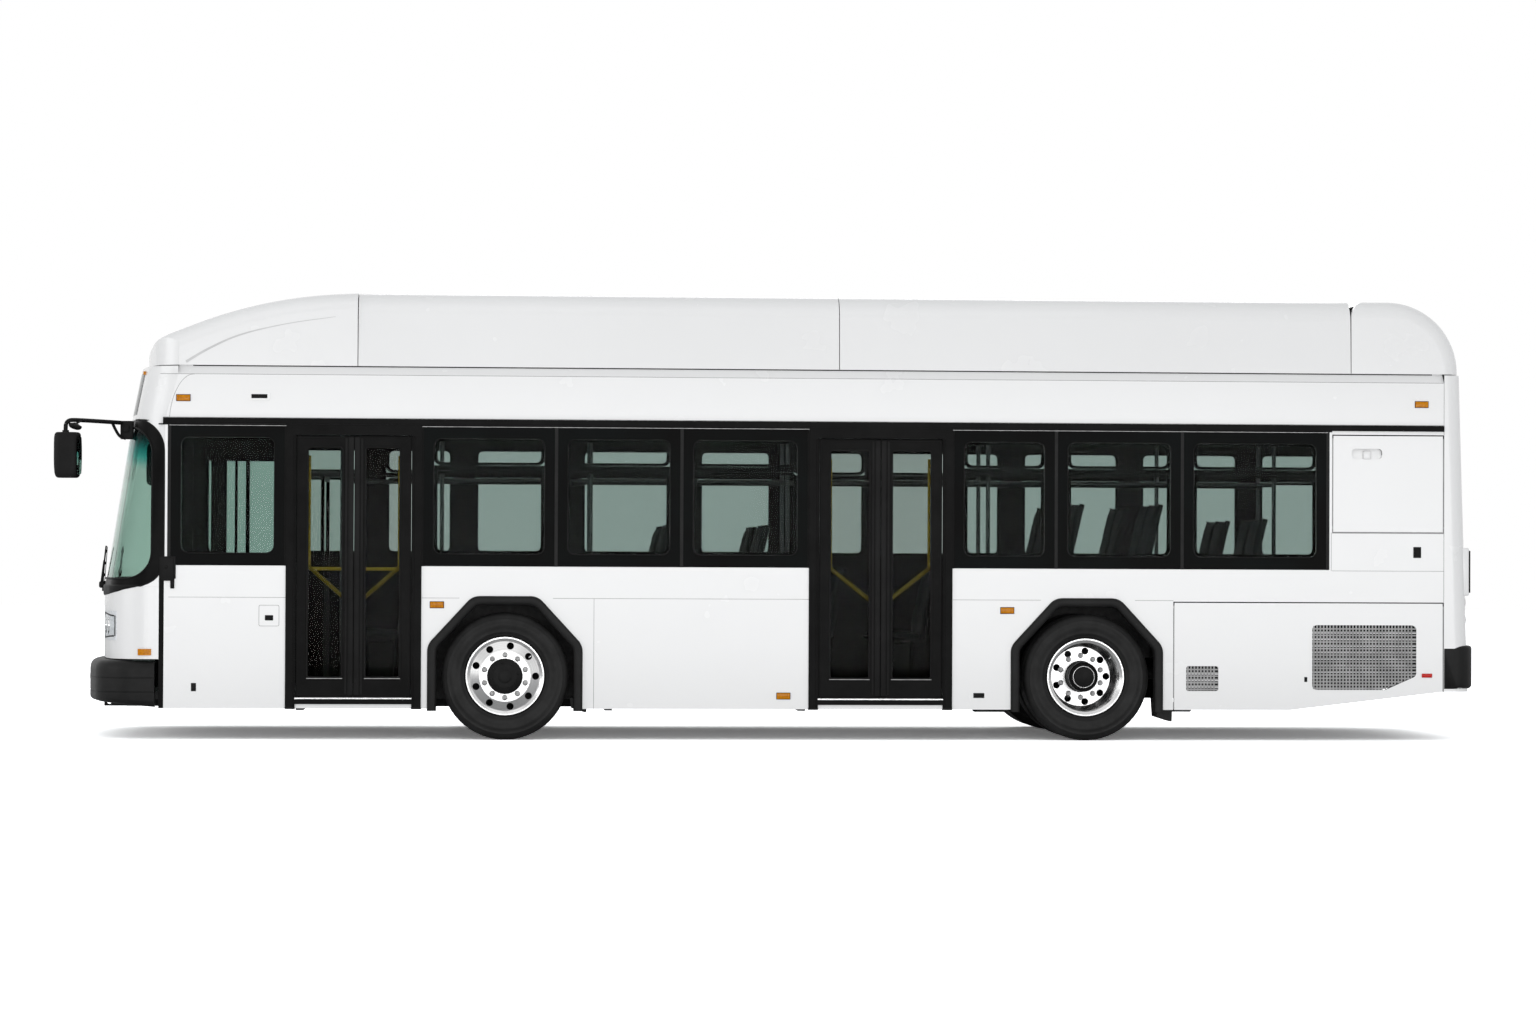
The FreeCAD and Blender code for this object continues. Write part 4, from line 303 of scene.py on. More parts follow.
# Materials of one grey that drifts: key, name, darkest and lightest, range of roughness, size of the drift,
# fineness and strength of the texture, and what else the shader takes.
GREYS = (
    ("white", "white_paint", 0.81, 0.832, (0.2, 0.32), 0.4, 260, 0.02, {"coat": 0.25}),
    # A mid grey that is painted shade along the fold on each side of the dome.
    ("crease", "crease_grey", 0.56, 0.62, (0.4, 0.55), 5, 300, 0.03, {}),
    ("edge", "lid_edge_grey", 0.34, 0.42, (0.5, 0.7), 5, 300, 0.05, {}),
    ("seam", "seam_grey", 0.16, 0.24, (0.5, 0.7), 5, 300, 0.1, {}),
    ("sheet", "perforated_sheet", 0.20, 0.28, (0.35, 0.5), 8, 500, 0.05, {"metallic": 0.5}),
    ("chrome", "polished_steel", 0.6, 0.75, (0.08, 0.18), 20, 500, 0.03, {"metallic": 1.0}),
    ("black", "black_paint", 0.003, 0.0055, (0.3, 0.45), 4, 300, 0.05, {"specular": 0.05}),
    ("plastic", "black_plastic", 0.0045, 0.008, (0.42, 0.6), 5, 700, 0.25, {"specular": 0.12}),
    ("rubber", "bumper_rubber", 0.006, 0.010, (0.38, 0.55), 5, 420, 0.3, {"specular": 0.16}),
    ("chassis", "chassis_paint", 0.008, 0.02, (0.5, 0.75), 7, 120, 0.2, {"specular": 0.2}),
    ("iron", "cast_iron", 0.05, 0.09, (0.6, 0.85), 12, 180, 0.5, {"metallic": 0.4}),
    ("floor", "floor_cover", 0.03, 0.05, (0.6, 0.8), 20, 900, 0.3, {}),
    ("trim", "trim_steel", 0.20, 0.30, (0.25, 0.4), 30, 500, 0.04, {"metallic": 1.0}),
    ("rail", "rail_steel", 0.10, 0.16, (0.3, 0.45), 30, 600, 0.05, {"metallic": 1.0}),
    ("nut", "nut_steel", 0.16, 0.28, (0.25, 0.4), 60, 500, 0.05, {"metallic": 1.0}),
)


def make_materials():
    """Every material, by its key."""
    found = {key: speckled(name, grey(low), grey(high), *rest, **more)
             for key, name, low, high, *rest, more in GREYS}
    found["frit"] = speckled("black_glass", grey(0.002), grey(0.004, (0.7, 1, 1)), (0.03, 0.08), 2, 300, 0.01,
                             specular=0.015)
    found["shell"] = speckled("seat_shell_plastic", grey(0.008, (0.95, 1, 1)), grey(0.014, (0.95, 1, 1)),
                              (0.35, 0.5), 9, 600, 0.12, specular=0.12)
    found["yellow"] = speckled("grip_yellow", (0.55, 0.36, 0.012, 1), (0.68, 0.46, 0.02, 1), (0.35, 0.5), 8,
                               500, 0.1)
    found["body"] = body_paint()
    found["tyre"] = tyre_rubber()
    found["seat"] = seat_fabric()
    found["alloy_front"] = alloy("polished_rim_front", AXLE_FRONT)
    found["alloy_rear"] = alloy("polished_rim_rear", AXLE_REAR)
    found["glass"] = side_glass()
    found["door_glass"] = clear_glass("door_pane_glass", (0.43, 0.47, 0.45, 1)).made
    found["screen"] = screen_glass()
    found["amber"] = lens("amber_lens", (0.46, 0.15, 0.001, 1), (0.62, 0.23, 0.002, 1))
    found["red"] = lens("red_lens", (0.42, 0.01, 0.008, 1), (0.58, 0.02, 0.015, 1))
    found["clear"] = lens("clear_lens", (0.6, 0.62, 0.64, 1), (0.8, 0.82, 0.84, 1))
    found["cover"] = clear_glass("lamp_cover", (0.86, 0.88, 0.89, 1), 0.6).made
    found["mirror"] = mirror_face()
    return found


def alloy(name, axle):
    """Machined aluminium: fine rings round an axle at a place along X."""
    made = Shader(name, metallic=1.0)
    arm = made.node("ShaderNodeCombineXYZ")
    for axis, middle in (("X", axle), ("Z", AXLE_Z)):
        made.link(made.maths("SUBTRACT", made.axis(axis), middle), arm.inputs[axis])
    length = made.node("ShaderNodeVectorMath", operation="LENGTH")
    made.link(arm.outputs[0], length.inputs[0])
    rings = made.node("ShaderNodeTexNoise", noise_dimensions="1D", Scale=260.0, Detail=3.0)
    made.link(length.outputs["Value"], rings.inputs["W"])
    made.colour(made.ramp(rings.outputs["Fac"], grey(0.56), grey(0.68)))
    made.roughness(rings.outputs["Fac"], 0.16, 0.34)
    made.bump(rings.outputs["Fac"], 0.05, 0.0004)
    return made.made


def tyre_rubber():
    """Dull black rubber with a dusty drift."""
    made = Shader("tyre_rubber", specular=0.18)
    made.colour(made.ramp(made.noise(7), grey(0.008), grey(0.015)))
    made.roughness(made.noise(30), 0.42, 0.62)
    made.bump(made.noise(500, 2.0), 0.3, 0.0006)
    return made.made


def seat_fabric():
    """A dark hard-wearing weave: crossed threads, flecks of grey-blue and a soft sheen."""
    made = Shader("seat_fabric", sheen=0.08, specular=0.1)
    weave = []
    for axis in ("X", "Y"):
        wave = made.node("ShaderNodeTexWave", Scale=160.0, Distortion=0.6, bands_direction=axis)
        made.link(made.places, wave.inputs["Vector"])
        weave.append(wave.outputs["Fac"])
    cross = made.maths("MULTIPLY", *weave)
    base = made.ramp(made.noise(55), grey(0.008, (0.85, 0.95, 1)), grey(0.018, (0.85, 0.95, 1)))
    fleck = made.ramp(made.noise(210, 1.0), grey(0.0), grey(1.0), 0.62, 0.68)
    made.colour(made.mix(fleck, base, (0.03, 0.045, 0.06, 1)))
    made.roughness(made.noise(90), 0.78, 0.95)
    made.bump(cross, 0.35, 0.0008)
    return made.made


def clear_glass(name, tint, specular=0.5):
    """Tinted glass that light goes straight through."""
    made = Shader(name, specular=specular)
    made.main.inputs["Transmission Weight"].default_value = 1.0
    made.main.inputs["IOR"].default_value = 1.08
    low = tuple(c * 0.985 for c in tint[:3]) + (1,)
    made.colour(made.ramp(made.noise(0.7), low, tint))
    made.main.inputs["Roughness"].default_value = 0.0
    return made


def side_glass():
    """Grey-green panes; the driver's own are a clearer green."""
    made = clear_glass("side_window_glass", (0.452, 0.524, 0.500, 1))
    ahead = made.maths("LESS_THAN", made.axis("X"), at(2100))
    tint = made.main.inputs["Base Color"].links[0].from_socket
    made.colour(made.mix(ahead, tint, (0.405, 0.515, 0.475, 1)))
    return made.made


def screen_glass():
    """Tinted glass with a sun band that deepens towards its top; the sign's pane above it is nearly black."""
    made = clear_glass("windscreen_glass", (0.490, 0.620, 0.565, 1))
    height = made.node("ShaderNodeMapRange", From_Min=2.14, From_Max=2.40)
    made.link(made.axis("Z"), height.inputs["Value"])
    tint = made.node("ShaderNodeValToRGB")
    tint.color_ramp.elements[0].color = (0.490, 0.620, 0.565, 1)
    tint.color_ramp.elements[1].color = (0.05, 0.09, 0.09, 1)
    middle = tint.color_ramp.elements.new(0.42)
    middle.color = (0.12, 0.46, 0.42, 1)
    made.link(height.outputs["Result"], tint.inputs["Fac"])
    made.colour(tint.outputs["Color"])
    return made.made


def lens(name, low, high):
    """A coloured lens with upright ribs."""
    made = Shader(name, coat=0.06, coat_roughness=0.05, specular=0.12)
    made.colour(made.ramp(made.noise(60), low, high))
    made.roughness(made.noise(40), 0.12, 0.25)
    ribs = made.node("ShaderNodeTexWave", Scale=55.0, bands_direction="X")
    made.link(made.places, ribs.inputs["Vector"])
    made.bump(ribs.outputs["Fac"], 0.3, 0.001)
    return made.made


def mirror_face():
    """Silvered glass."""
    made = Shader("mirror_glass", metallic=1.0)
    made.colour(made.ramp(made.noise(2), grey(0.55, (0.9, 1, 0.98)), grey(0.62, (0.9, 1, 0.98))))
    made.roughness(made.noise(4), 0.01, 0.04)
    return made.made


scene.view_settings.view_transform = "Standard"
add_camera()
studio()
add_floor()
MATERIALS = make_materials()

NODE_MATERIALS = {
    "white": ("roof_shroud", "roof_dome", "roof_tail"),
    "body": ("side_wall_left", "side_wall_right", "front_header", "front_mask", "rear_cap", "engine_lid_rear",
             "engine_lid_side", "service_lid_side", "roof_panel"),
    "black": ("windscreen_surround", "window_transoms", "gutter_rails", "door_front_fore", "door_front_aft",
              "door_rear_fore", "door_rear_aft", "door_frames", "driver_partition"),
    "plastic": ("dashboard", "steering_wheel", "mirrors", "wipers"),
    "rubber": ("bumper_front", "bumper_rear", "wheel_arch_trims"),
    "tyre": ("tyre_front_left", "tyre_front_right", "tyres_rear_left", "tyres_rear_right"),
    "chassis": ("underframe", "front_axle", "rear_axle", "knuckle_left", "knuckle_right"),
    "iron": ("engine_block",),
    "floor": ("floor", "wheel_housings"),
    "seat": ("seats",),
    "rail": ("grab_rails",),
    "alloy_front": ("rim_front_left", "rim_front_right"),
    "alloy_rear": ("rims_rear_left", "rims_rear_right"),
    "glass": ("window_glass",),
    "screen": ("front_glass",),
    "door_glass": ("door_glass_front_fore", "door_glass_front_aft", "door_glass_rear_fore",
                   "door_glass_rear_aft"),
    "amber": ("side_lamps",),
    "red": ("tail_lamps",),
    "clear": ("headlamps",),
}
for key, names in NODE_MATERIALS.items():
    for name in names:
        mesh = NODES[name].data
        mesh.materials.clear()
        mesh.materials.append(MATERIALS[key])


# ---------------------------------------------------------------- ways of making pieces

def piece(name, mesh, material, body="body", smooth=True):
    """A mesh as an object with one material, riding on a body."""
    made = bpy.data.objects.new(name, mesh)
    scene.collection.objects.link(made)
    mesh.materials.append(MATERIALS[material])
    for face in mesh.polygons:
        face.use_smooth = smooth
    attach(made, body)
    return made


def mesh_of(name, build):
    """A mesh filled by a function that takes its bmesh."""
    work = bmesh.new()
    build(work)
    bmesh.ops.recalc_face_normals(work, faces=work.faces)
    return closed_mesh(name, work)


def closed_mesh(name, work):
    """A mesh made from a bmesh, which is freed."""
    mesh = bpy.data.meshes.new(name)
    work.to_mesh(mesh)
    work.free()
    return mesh


def smooth_piece(name, build, material, body="body"):
    """A piece with every face smooth."""
    return piece(name, mesh_of(name, build), material, body)


def flat_piece(name, build, material, body="body"):
    """A piece with every face flat."""
    return piece(name, mesh_of(name, build), material, body, smooth=False)


def crisp_piece(name, build, material, angle=32, body="body"):
    """A smooth piece with edges sharper than an angle kept crisp."""
    made = smooth_piece(name, build, material, body)
    made.data.set_sharp_from_angle(angle=math.radians(angle))
    return made


def side_box(work, side, x, out, z, round_by=0.0, segments=2):
    """A box on one side of the bus, from pairs of X, distance out from the middle, and Z."""
    low, high = sorted((side * out[0], side * out[1]))
    add_box(work, (x[0], low, z[0]), (x[1], high, z[1]), round_by, segments)


def turns(count):
    """The angles of a number of equal steps round a circle."""
    return [2 * math.pi * k / count for k in range(count)]


def join_rings(work, rings, closed=False):
    """Faces between rings of points, each joined to the next; a ring of one point is a pole."""
    for a, b in zip(rings, rings[1:] + rings[:1 if closed else 0]):
        count = max(len(a), len(b))
        for k in range(count if count > 1 else 0):
            j = (k + 1) % count
            face = [a[k], a[j]] if len(a) > 1 else [a[0]]
            work.faces.new(face + ([b[j], b[k]] if len(b) > 1 else [b[0]]))


def add_box(work, low, high, round_by=0.0, segments=2):
    """A box between two corners, its edges rounded."""
    size = Vector(high) - Vector(low)
    middle = (Vector(high) + Vector(low)) / 2
    made = bmesh.ops.create_cube(work, size=1.0)
    verts = made["verts"]
    bmesh.ops.scale(work, vec=size, verts=verts)
    bmesh.ops.translate(work, vec=middle, verts=verts)
    if round_by:
        edges = list({e for v in verts for e in v.link_edges})
        bmesh.ops.bevel(work, geom=edges, offset=round_by, segments=segments, profile=0.5, affect="EDGES",
                        clamp_overlap=True)


def add_tube(work, points, radius, sides, closed=False):
    """A tube through points, its rings square to the path."""
    points = [Vector(p) for p in points]
    count = len(points)
    rings = []
    for i, p in enumerate(points):
        before = points[i - 1] if (i or closed) else points[i]
        after = points[(i + 1) % count] if (i < count - 1 or closed) else points[i]
        way = (after - before).normalized()
        side = way.cross(Vector((0.13, 0.21, 0.97)) if abs(way.z) < 0.9 else Vector((1, 0.1, 0))).normalized()
        up = side.cross(way)
        rings.append([work.verts.new(p + radius * (math.cos(a) * side + math.sin(a) * up))
                      for a in turns(sides)])
    join_rings(work, rings, closed)
    if not closed:
        work.faces.new(rings[0][::-1])
        work.faces.new(rings[-1])


def rounded_loop(x0, x1, z0, z1, radius, steps=6):
    """Points round a rectangle with rounded corners."""
    loop = []
    for cx, cz, start in ((x1 - radius, z1 - radius, 0), (x0 + radius, z1 - radius, 90),
                          (x0 + radius, z0 + radius, 180), (x1 - radius, z0 + radius, 270)):
        for k in range(steps + 1):
            a = math.radians(start + 90 * k / steps)
            loop.append((cx + radius * math.cos(a), cz + radius * math.sin(a)))
    return loop


def add_ring(work, outer, inner, y, depth=0.0):
    """A flat ring between two loops with the same number of points, at a place along Y."""
    def row(loop, place):
        return [work.verts.new((x, place, z)) for x, z in loop]

    a, b = row(outer, y), row(inner, y)
    join_rings(work, [a, b])
    if depth:
        c, d = row(outer, y + depth), row(inner, y + depth)
        join_rings(work, [d, c])
        join_rings(work, [b, d])
        join_rings(work, [c, a])


def soft_spline(points, steps):
    """A smooth run of points through a few, by Catmull and Rom's rule."""
    points = [Vector(p) for p in points]
    padded = [points[0] * 2 - points[1], *points, points[-1] * 2 - points[-2]]
    run = []
    for a, b, c, d in zip(padded, padded[1:], padded[2:], padded[3:]):
        for k in range(steps):
            t = k / steps
            run.append(0.5 * (2 * b + (c - a) * t + (2 * a - 5 * b + 4 * c - d) * t * t
                              + (3 * b - a - 3 * c + d) * t ** 3))
    run.append(points[-1])
    return run


# ---------------------------------------------------------------- the front's skin

# Each level of the front: how far it is set back, how far it leans back, and from which height to which.
MASK = (0.112, 0.0, 0.627, 1.190)
SCREEN = (0.112, 0.206, 1.190, 2.500)
HEADER = (0.318, 0.082, 2.500, 2.912)
BOW_HALF, BOW_ROUND, CORNER_ROUND = 0.180, 3.300, 0.330
CORNER_BACK = 0.435                # where the corner's round ends on the side


def plan_outline(reach=0.75, bow=22, corner=20):
    """The front from above, from its middle to the side: run back, distance out and outward direction."""
    rows = [(0.0, BOW_HALF * k / 3, (-1.0, 0.0)) for k in range(3)]
    for k in range(bow + 1):
        y = BOW_HALF + (1.0066 - BOW_HALF) * k / bow
        u = BOW_ROUND - math.sqrt(BOW_ROUND ** 2 - (y - BOW_HALF) ** 2)
        rows.append((u, y, ((u - BOW_ROUND) / BOW_ROUND, (y - BOW_HALF) / BOW_ROUND)))
    for k in range(corner + 1):
        a = math.radians(75.44 * (1 - k / corner))
        rows.append((CORNER_BACK - CORNER_ROUND * math.sin(a),
                     SKIN - CORNER_ROUND + CORNER_ROUND * math.cos(a), (-math.sin(a), math.cos(a))))
    if reach > CORNER_BACK:
        rows.append((reach, SKIN, (0.0, 1.0)))
    return rows


OUTLINE = plan_outline()


def across(u):
    """The outline's row at a run back, between its own rows."""
    for a, b in zip(OUTLINE, OUTLINE[1:]):
        if a[0] <= u <= b[0] and b[0] > a[0]:
            t = (u - a[0]) / (b[0] - a[0])
            return (u, a[1] + (b[1] - a[1]) * t, tuple(p + (q - p) * t for p, q in zip(a[2], b[2])))
    return OUTLINE[0] if u <= 0 else (u, SKIN, (0.0, 1.0))


def nearest_row(y):
    """The outline's own row nearest to a distance from the middle."""
    return min(OUTLINE, key=lambda row: abs(row[1] - abs(y)))


def skin_at(level, row, z, side, proud=0.0):
    """A point on one level of the front, from a row of the outline and a height."""
    back, lean, low, high = level
    start = back + lean * (z - low) / (high - low)
    u, y, way = row
    return Vector((NOSE + start + u + proud * way[0], side * (y + proud * way[1]), z))


def station_row(level, station, z):
    """The outline's row that stands at a station (in metres) at a height."""
    back, lean, low, high = level
    return across(station - back - lean * (z - low) / (high - low))


def add_sheet(work, grid):
    """Faces between rows of points."""
    rows = [[work.verts.new(p) for p in row] for row in grid]
    for a, b in zip(rows, rows[1:]):
        for k in range(len(a) - 1):
            work.faces.new((a[k], a[k + 1], b[k + 1], b[k]))


# The surround's lower outer edge, as seen from the side: station and height.
LOWER_EDGE = ((0.112, 1.112), (0.200, 1.126), (0.290, 1.148), (0.362, 1.169), (0.430, 1.182), (0.491, 1.196),
              (0.540, 1.214), (0.587, 1.240), (0.620, 1.272), (0.645, 1.318), (0.660, 1.360), (0.667, 1.400))
UPPER_CORNER = (0.417, 2.250, 0.250)      # its round upper corner: middle and radius
EDGE_START, EDGE_REAR = 0.480, 0.667      # where that edge climbs off the mask, and where it stands upright
LIP_TOP = 1.204                           # the top of the surround's lip over the mask


def lower_edge(station):
    """The height of the surround's lower edge at a station, in metres."""
    for (a, p), (b, q) in zip(LOWER_EDGE, LOWER_EDGE[1:]):
        if a <= station <= b:
            t = (station - a) / (b - a)
            t = t * t * (3 - 2 * t) * 0.25 + t * 0.75
            return p + (q - p) * t
    return LOWER_EDGE[0][1] if station < LOWER_EDGE[0][0] else LOWER_EDGE[-1][1]


def screen_point(station, z, side, proud):
    """A point on the windscreen's level, from a station in metres and a height."""
    return skin_at(SCREEN, station_row(SCREEN, station, z), z, side, proud)


def front_fillers():
    """White corners outside the surround's rounded edge, and its black lip over the mask."""
    middle, height, radius = UPPER_CORNER

    def corners(work):
        for side in SIDES:
            grid = []
            for i in range(15):
                z = height + radius * i / 14
                start = middle + math.sqrt(max(radius ** 2 - (z - height) ** 2, 0.0))
                grid.append([screen_point(start + (0.6685 - start) * k / 14, z, side, 0.002)
                             for k in range(15)])
            add_sheet(work, grid)
            grid, foot = [], 1.1902
            for k in range(15):
                station = EDGE_START + (0.630 - EDGE_START) * k / 14
                top = max(lower_edge(station), foot)
                grid.append([screen_point(station, foot + (top - foot) * j / 5, side, 0.002)
                             for j in range(6)])
            add_sheet(work, grid)

    def lip(work):
        end = 0.476                # the station where the lip ends
        rows = [row for row in OUTLINE if row[0] + MASK[0] <= end] + [across(end - MASK[0])]
        full = [(row, -1) for row in rows[:0:-1]] + [(row, 1) for row in rows]
        grid = []
        for row, side in full:
            low = lower_edge(MASK[0] + row[0])
            profile = [(low, 0.0), (low + 0.004, 0.007), (low + 0.014, 0.011), (1.186, 0.013), (1.196, 0.012),
                       (LIP_TOP, 0.0)]
            if low > 1.176:
                profile = [(low + (LIP_TOP - low) * j / 5, 0.003) for j in range(6)]
            grid.append([skin_at(MASK, row, z, side, proud) for z, proud in profile])
        add_sheet(work, grid)

    smooth_piece("surround_corners", corners, "white")
    crisp_piece("surround_lip", lip, "plastic", 50)


def opening_path():
    """The windscreen opening's edge on one side, from the middle below round to the middle above, as rows."""
    low, high, rear, radius = 1.252, 2.438, 0.572, 0.210
    marks = []
    for z, ends in ((low, 1), (high, -1)):
        flat = []
        for row in OUTLINE:
            station = SCREEN[0] + SCREEN[1] * (z - SCREEN[2]) / (SCREEN[3] - SCREEN[2]) + row[0]
            if station < rear - radius:
                flat.append((row, z))
        arc = []
        for k in range(13):
            a = math.radians(90 * k / 12)
            station, level = rear - radius + radius * math.sin(a), z + ends * radius * (1 - math.cos(a))
            arc.append((station_row(SCREEN, station, level), level))
        marks.append(flat + arc)
    return marks[0] + marks[1][::-1]


def gaskets():
    """Rubber round the glass and a raised bead along the surround's outer edge."""
    def beads(work):
        path = opening_path()
        loop = [skin_at(SCREEN, row, z, -1, 0.001) for row, z in path[::-1]]
        loop += [skin_at(SCREEN, row, z, 1, 0.001) for row, z in path[1:]]
        add_tube(work, loop, 0.008, 8, True)
        middle, height, radius = UPPER_CORNER
        for side in SIDES:
            edge = []
            for k in range(16):
                station = EDGE_START + (EDGE_REAR - EDGE_START) * k / 15
                edge.append((station, max(lower_edge(station), 1.192)))
            edge += [(EDGE_REAR, 1.42 + (height - 1.42) * k / 4) for k in range(5)]
            for k in range(1, 15):
                a = math.radians(90 * k / 14)
                edge.append((middle + radius * math.cos(a), height + radius * math.sin(a) - 0.002))
            edge = [screen_point(station, z, side, 0.001) for station, z in edge]
            add_tube(work, edge, 0.006, 8)

    crisp_piece("windscreen_gaskets", beads, "plastic", 50)


def front_bumper():
    """A moulded bumper with a rolled top, two thin grooves and a lower edge that drops towards its ends."""
    profile = [(0.292, 0.060), (0.294, 0.034), (0.300, 0.014), (0.312, 0.003), (0.326, 0.0006),
               (0.366, 0.0006), (0.368, 0.005), (0.373, 0.005), (0.375, 0.0006), (0.420, 0.0004),
               (0.476, 0.0006), (0.478, 0.005), (0.483, 0.005), (0.485, 0.0006), (0.540, 0.0008),
               (0.566, 0.004), (0.588, 0.012), (0.604, 0.026), (0.614, 0.046), (0.619, 0.075), (0.620, 0.112)]

    def moulding(work):
        rows = plan_outline(0.598, 26, 24)
        full = [(row, -1) for row in rows[:0:-1]] + [(row, 1) for row in rows]
        grid = []
        for (u, y, way), side in full:
            drop = 0.040 * min(max((u - 0.10) / 0.50, 0.0), 1.0)
            run = []
            for z, inset in profile:
                level = z - drop * max(0.0, (0.36 - z) / 0.068) if z < 0.36 else z
                run.append(Vector((NOSE + u - inset * way[0], side * (y - inset * way[1]), level)))
            grid.append(run)
        add_sheet(work, grid)
        for run in (grid[0], grid[-1]):
            inner = [Vector((p.x, p.y * 0.955, p.z)) for p in run]
            add_sheet(work, [run, inner])

    made = crisp_piece("bumper_front_moulding", moulding, "rubber", 30)
    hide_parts("bumper_front")


# ---------------------------------------------------------------- side windows

BAND = (1.357, 2.462)              # the panes' height, with their black borders
DAYLIGHT = (1.459, 2.354)          # and the height that light comes through
DOORWAYS = ((1609, 1055), (5700, 1136))     # station and width
NEAR_PANES = ((704, 1609), (2664, 3713), (3713, 4697), (4697, 5700), (6836, 7660), (7660, 8666), (8666, 9835))
FAR_EDGES = (704, 1480, 2200, 2954, 3860, 4860, 5672, 6470, 7642, 8667, 9706, 10500)
FAR_PANES = tuple(zip(FAR_EDGES, FAR_EDGES[1:]))
PANES = ((-1, NEAR_PANES), (1, FAR_PANES))
MARGIN = 95                        # the border's width at each end of a pane


def window_frits():
    """The black printed border of each pane, the joints between panes, and the rubber round the daylight."""
    def borders(work):
        for side, panes in PANES:
            y = side * (SKIN - 0.0016)
            for a, b in panes:
                outer = rounded_loop(at(a) + 0.005, at(b) - 0.005, BAND[0] + 0.002, BAND[1], 0.004)
                inner = rounded_loop(at(a + MARGIN), at(b - MARGIN), *DAYLIGHT, 0.06)
                add_ring(work, outer, inner, y)

    def joints(work):
        for side, panes in PANES:
            for s in sorted({s for pair in panes for s in pair}):
                side_box(work, side, (at(s) - 0.013, at(s) + 0.013), (SKIN - 0.009, SKIN + 0.0006), BAND,
                         0.0015)

    def seals(work):
        for side, panes in PANES:
            for a, b in panes:
                loop = rounded_loop(at(a + MARGIN - 4), at(b - MARGIN + 4), DAYLIGHT[0] - 0.004,
                                    DAYLIGHT[1] + 0.004, 0.064, 8)
                add_tube(work, [(x, side * (SKIN - 0.0005), z) for x, z in loop], 0.0035, 6, True)

    flat_piece("pane_borders", borders, "frit")
    flat_piece("pane_joints", joints, "rubber")
    smooth_piece("daylight_seals", seals, "plastic")


def inner_window_frames():
    """Sashes behind the glass, below and above each transom bar, and the driver's window posts."""
    def frames(work):
        for side, panes in ((-1, NEAR_PANES[1:]), (1, FAR_PANES[1:])):
            y = side * (SKIN - 0.03)
            for a, b in panes:
                for low, high in ((DAYLIGHT[0], 2.106), (2.15, DAYLIGHT[1])):
                    outer = rounded_loop(at(a + MARGIN) - 0.002, at(b - MARGIN) + 0.002, low, high, 0.05)
                    inner = rounded_loop(at(a + MARGIN) + 0.026, at(b - MARGIN) - 0.026, low + 0.022,
                                         high - 0.022, 0.04)
                    add_ring(work, outer, inner, y, 0.012 * side)

    flat_piece("window_sashes", frames, "black")

    def driver_side(work):
        depth = (SKIN - 0.090, SKIN - 0.060)
        side_box(work, 1, (at(780), at(1400)), depth, (2.235, 2.42), 0.012)
        for a, b in ((821, 954), (1021, 1045), (1113, 1147)):
            side_box(work, 1, (at(a), at(b)), depth, (DAYLIGHT[0] - 0.02, 2.25), 0.004)

    flat_piece("driver_window_posts", driver_side, "black")


# ---------------------------------------------------------------- seams, catches, hatch and lamps on the skin

SEAM = 0.003


def level_seam(work, a, b, z, side=-1):
    """A very thin strip on the skin between two stations, at a height in millimetres."""
    side_box(work, side, (at(a), at(b)), (SKIN - 0.001, SKIN + 0.0003),
             (z / 1000 - SEAM / 2, z / 1000 + SEAM / 2))


def upright_seam(work, s, low, high, side=-1):
    """A very thin strip on the skin at a station, between two heights in metres."""
    side_box(work, side, (at(s) - SEAM / 2, at(s) + SEAM / 2), (SKIN - 0.001, SKIN + 0.0003), (low, high))


# Seams on the near side: level ones by station from, to and height, upright ones by station, from and to.
LEVEL_SEAMS = ((704, 1609, 1110), (2664, 2960, 1110), (3690, 5700, 1110), (6836, 7540, 1110),
               (8290, 8597, 1110), (9869, 10770, 1650), (9869, 10770, 1351), (630, 2664, 2849),
               (2664, 10770, 2849))
UPRIGHT_SEAMS = ((4012, 245, 1110), (9862, 1351, 1653), (10770, 391, 2849))
# Seams on the far side: the same, and the stations of upright ones.
FAR_LEVEL_SEAMS = ((704, 2750, 1110), (3850, 7300, 1110), (8480, 10770, 1110), (630, 10770, 2849))
FAR_UPRIGHT_SEAMS = (2100, 4600, 6400, 8900)


def seams():
    """Thin lines where the skin's panels meet, and dark strips of painted shade in the gap under the shroud
    and under the gutter rail over the windows.
    """
    def lines(work):
        for seam in LEVEL_SEAMS:
            level_seam(work, *seam)
        for s, low, high in UPRIGHT_SEAMS:
            upright_seam(work, s, low / 1000, high / 1000)
        for seam in FAR_LEVEL_SEAMS:
            level_seam(work, *seam, 1)
        for s in FAR_UPRIGHT_SEAMS:
            upright_seam(work, s, 0.25, 1.11, 1)

    flat_piece("skin_seams", lines, "seam")

    # Painted shade: a black sheet in the gap under the shroud, and a dark line just under the gutter rail
    # over the windows.
    def dark(work):
        for side in SIDES:
            side_box(work, side, (at(878), at(10690)), (1.221, 1.222), (2.9145, 2.9215))
        for side in SIDES:
            side_box(work, side, (at(620), at(9869)), (SKIN + 0.0004, SKIN - 0.003), (2.452, 2.4625), 0.001)

    flat_piece("painted_gap_shade", dark, "black")


# The catches: station and height of the middle, width and height, in millimetres.
CATCHES = ((902, 410, 40, 65), (7049, 356, 88, 40), (10555, 1500, 64, 88), (9660, 488, 25, 40))
HATCH = (1482, 968, 158, 165)      # the same for the filler hatch


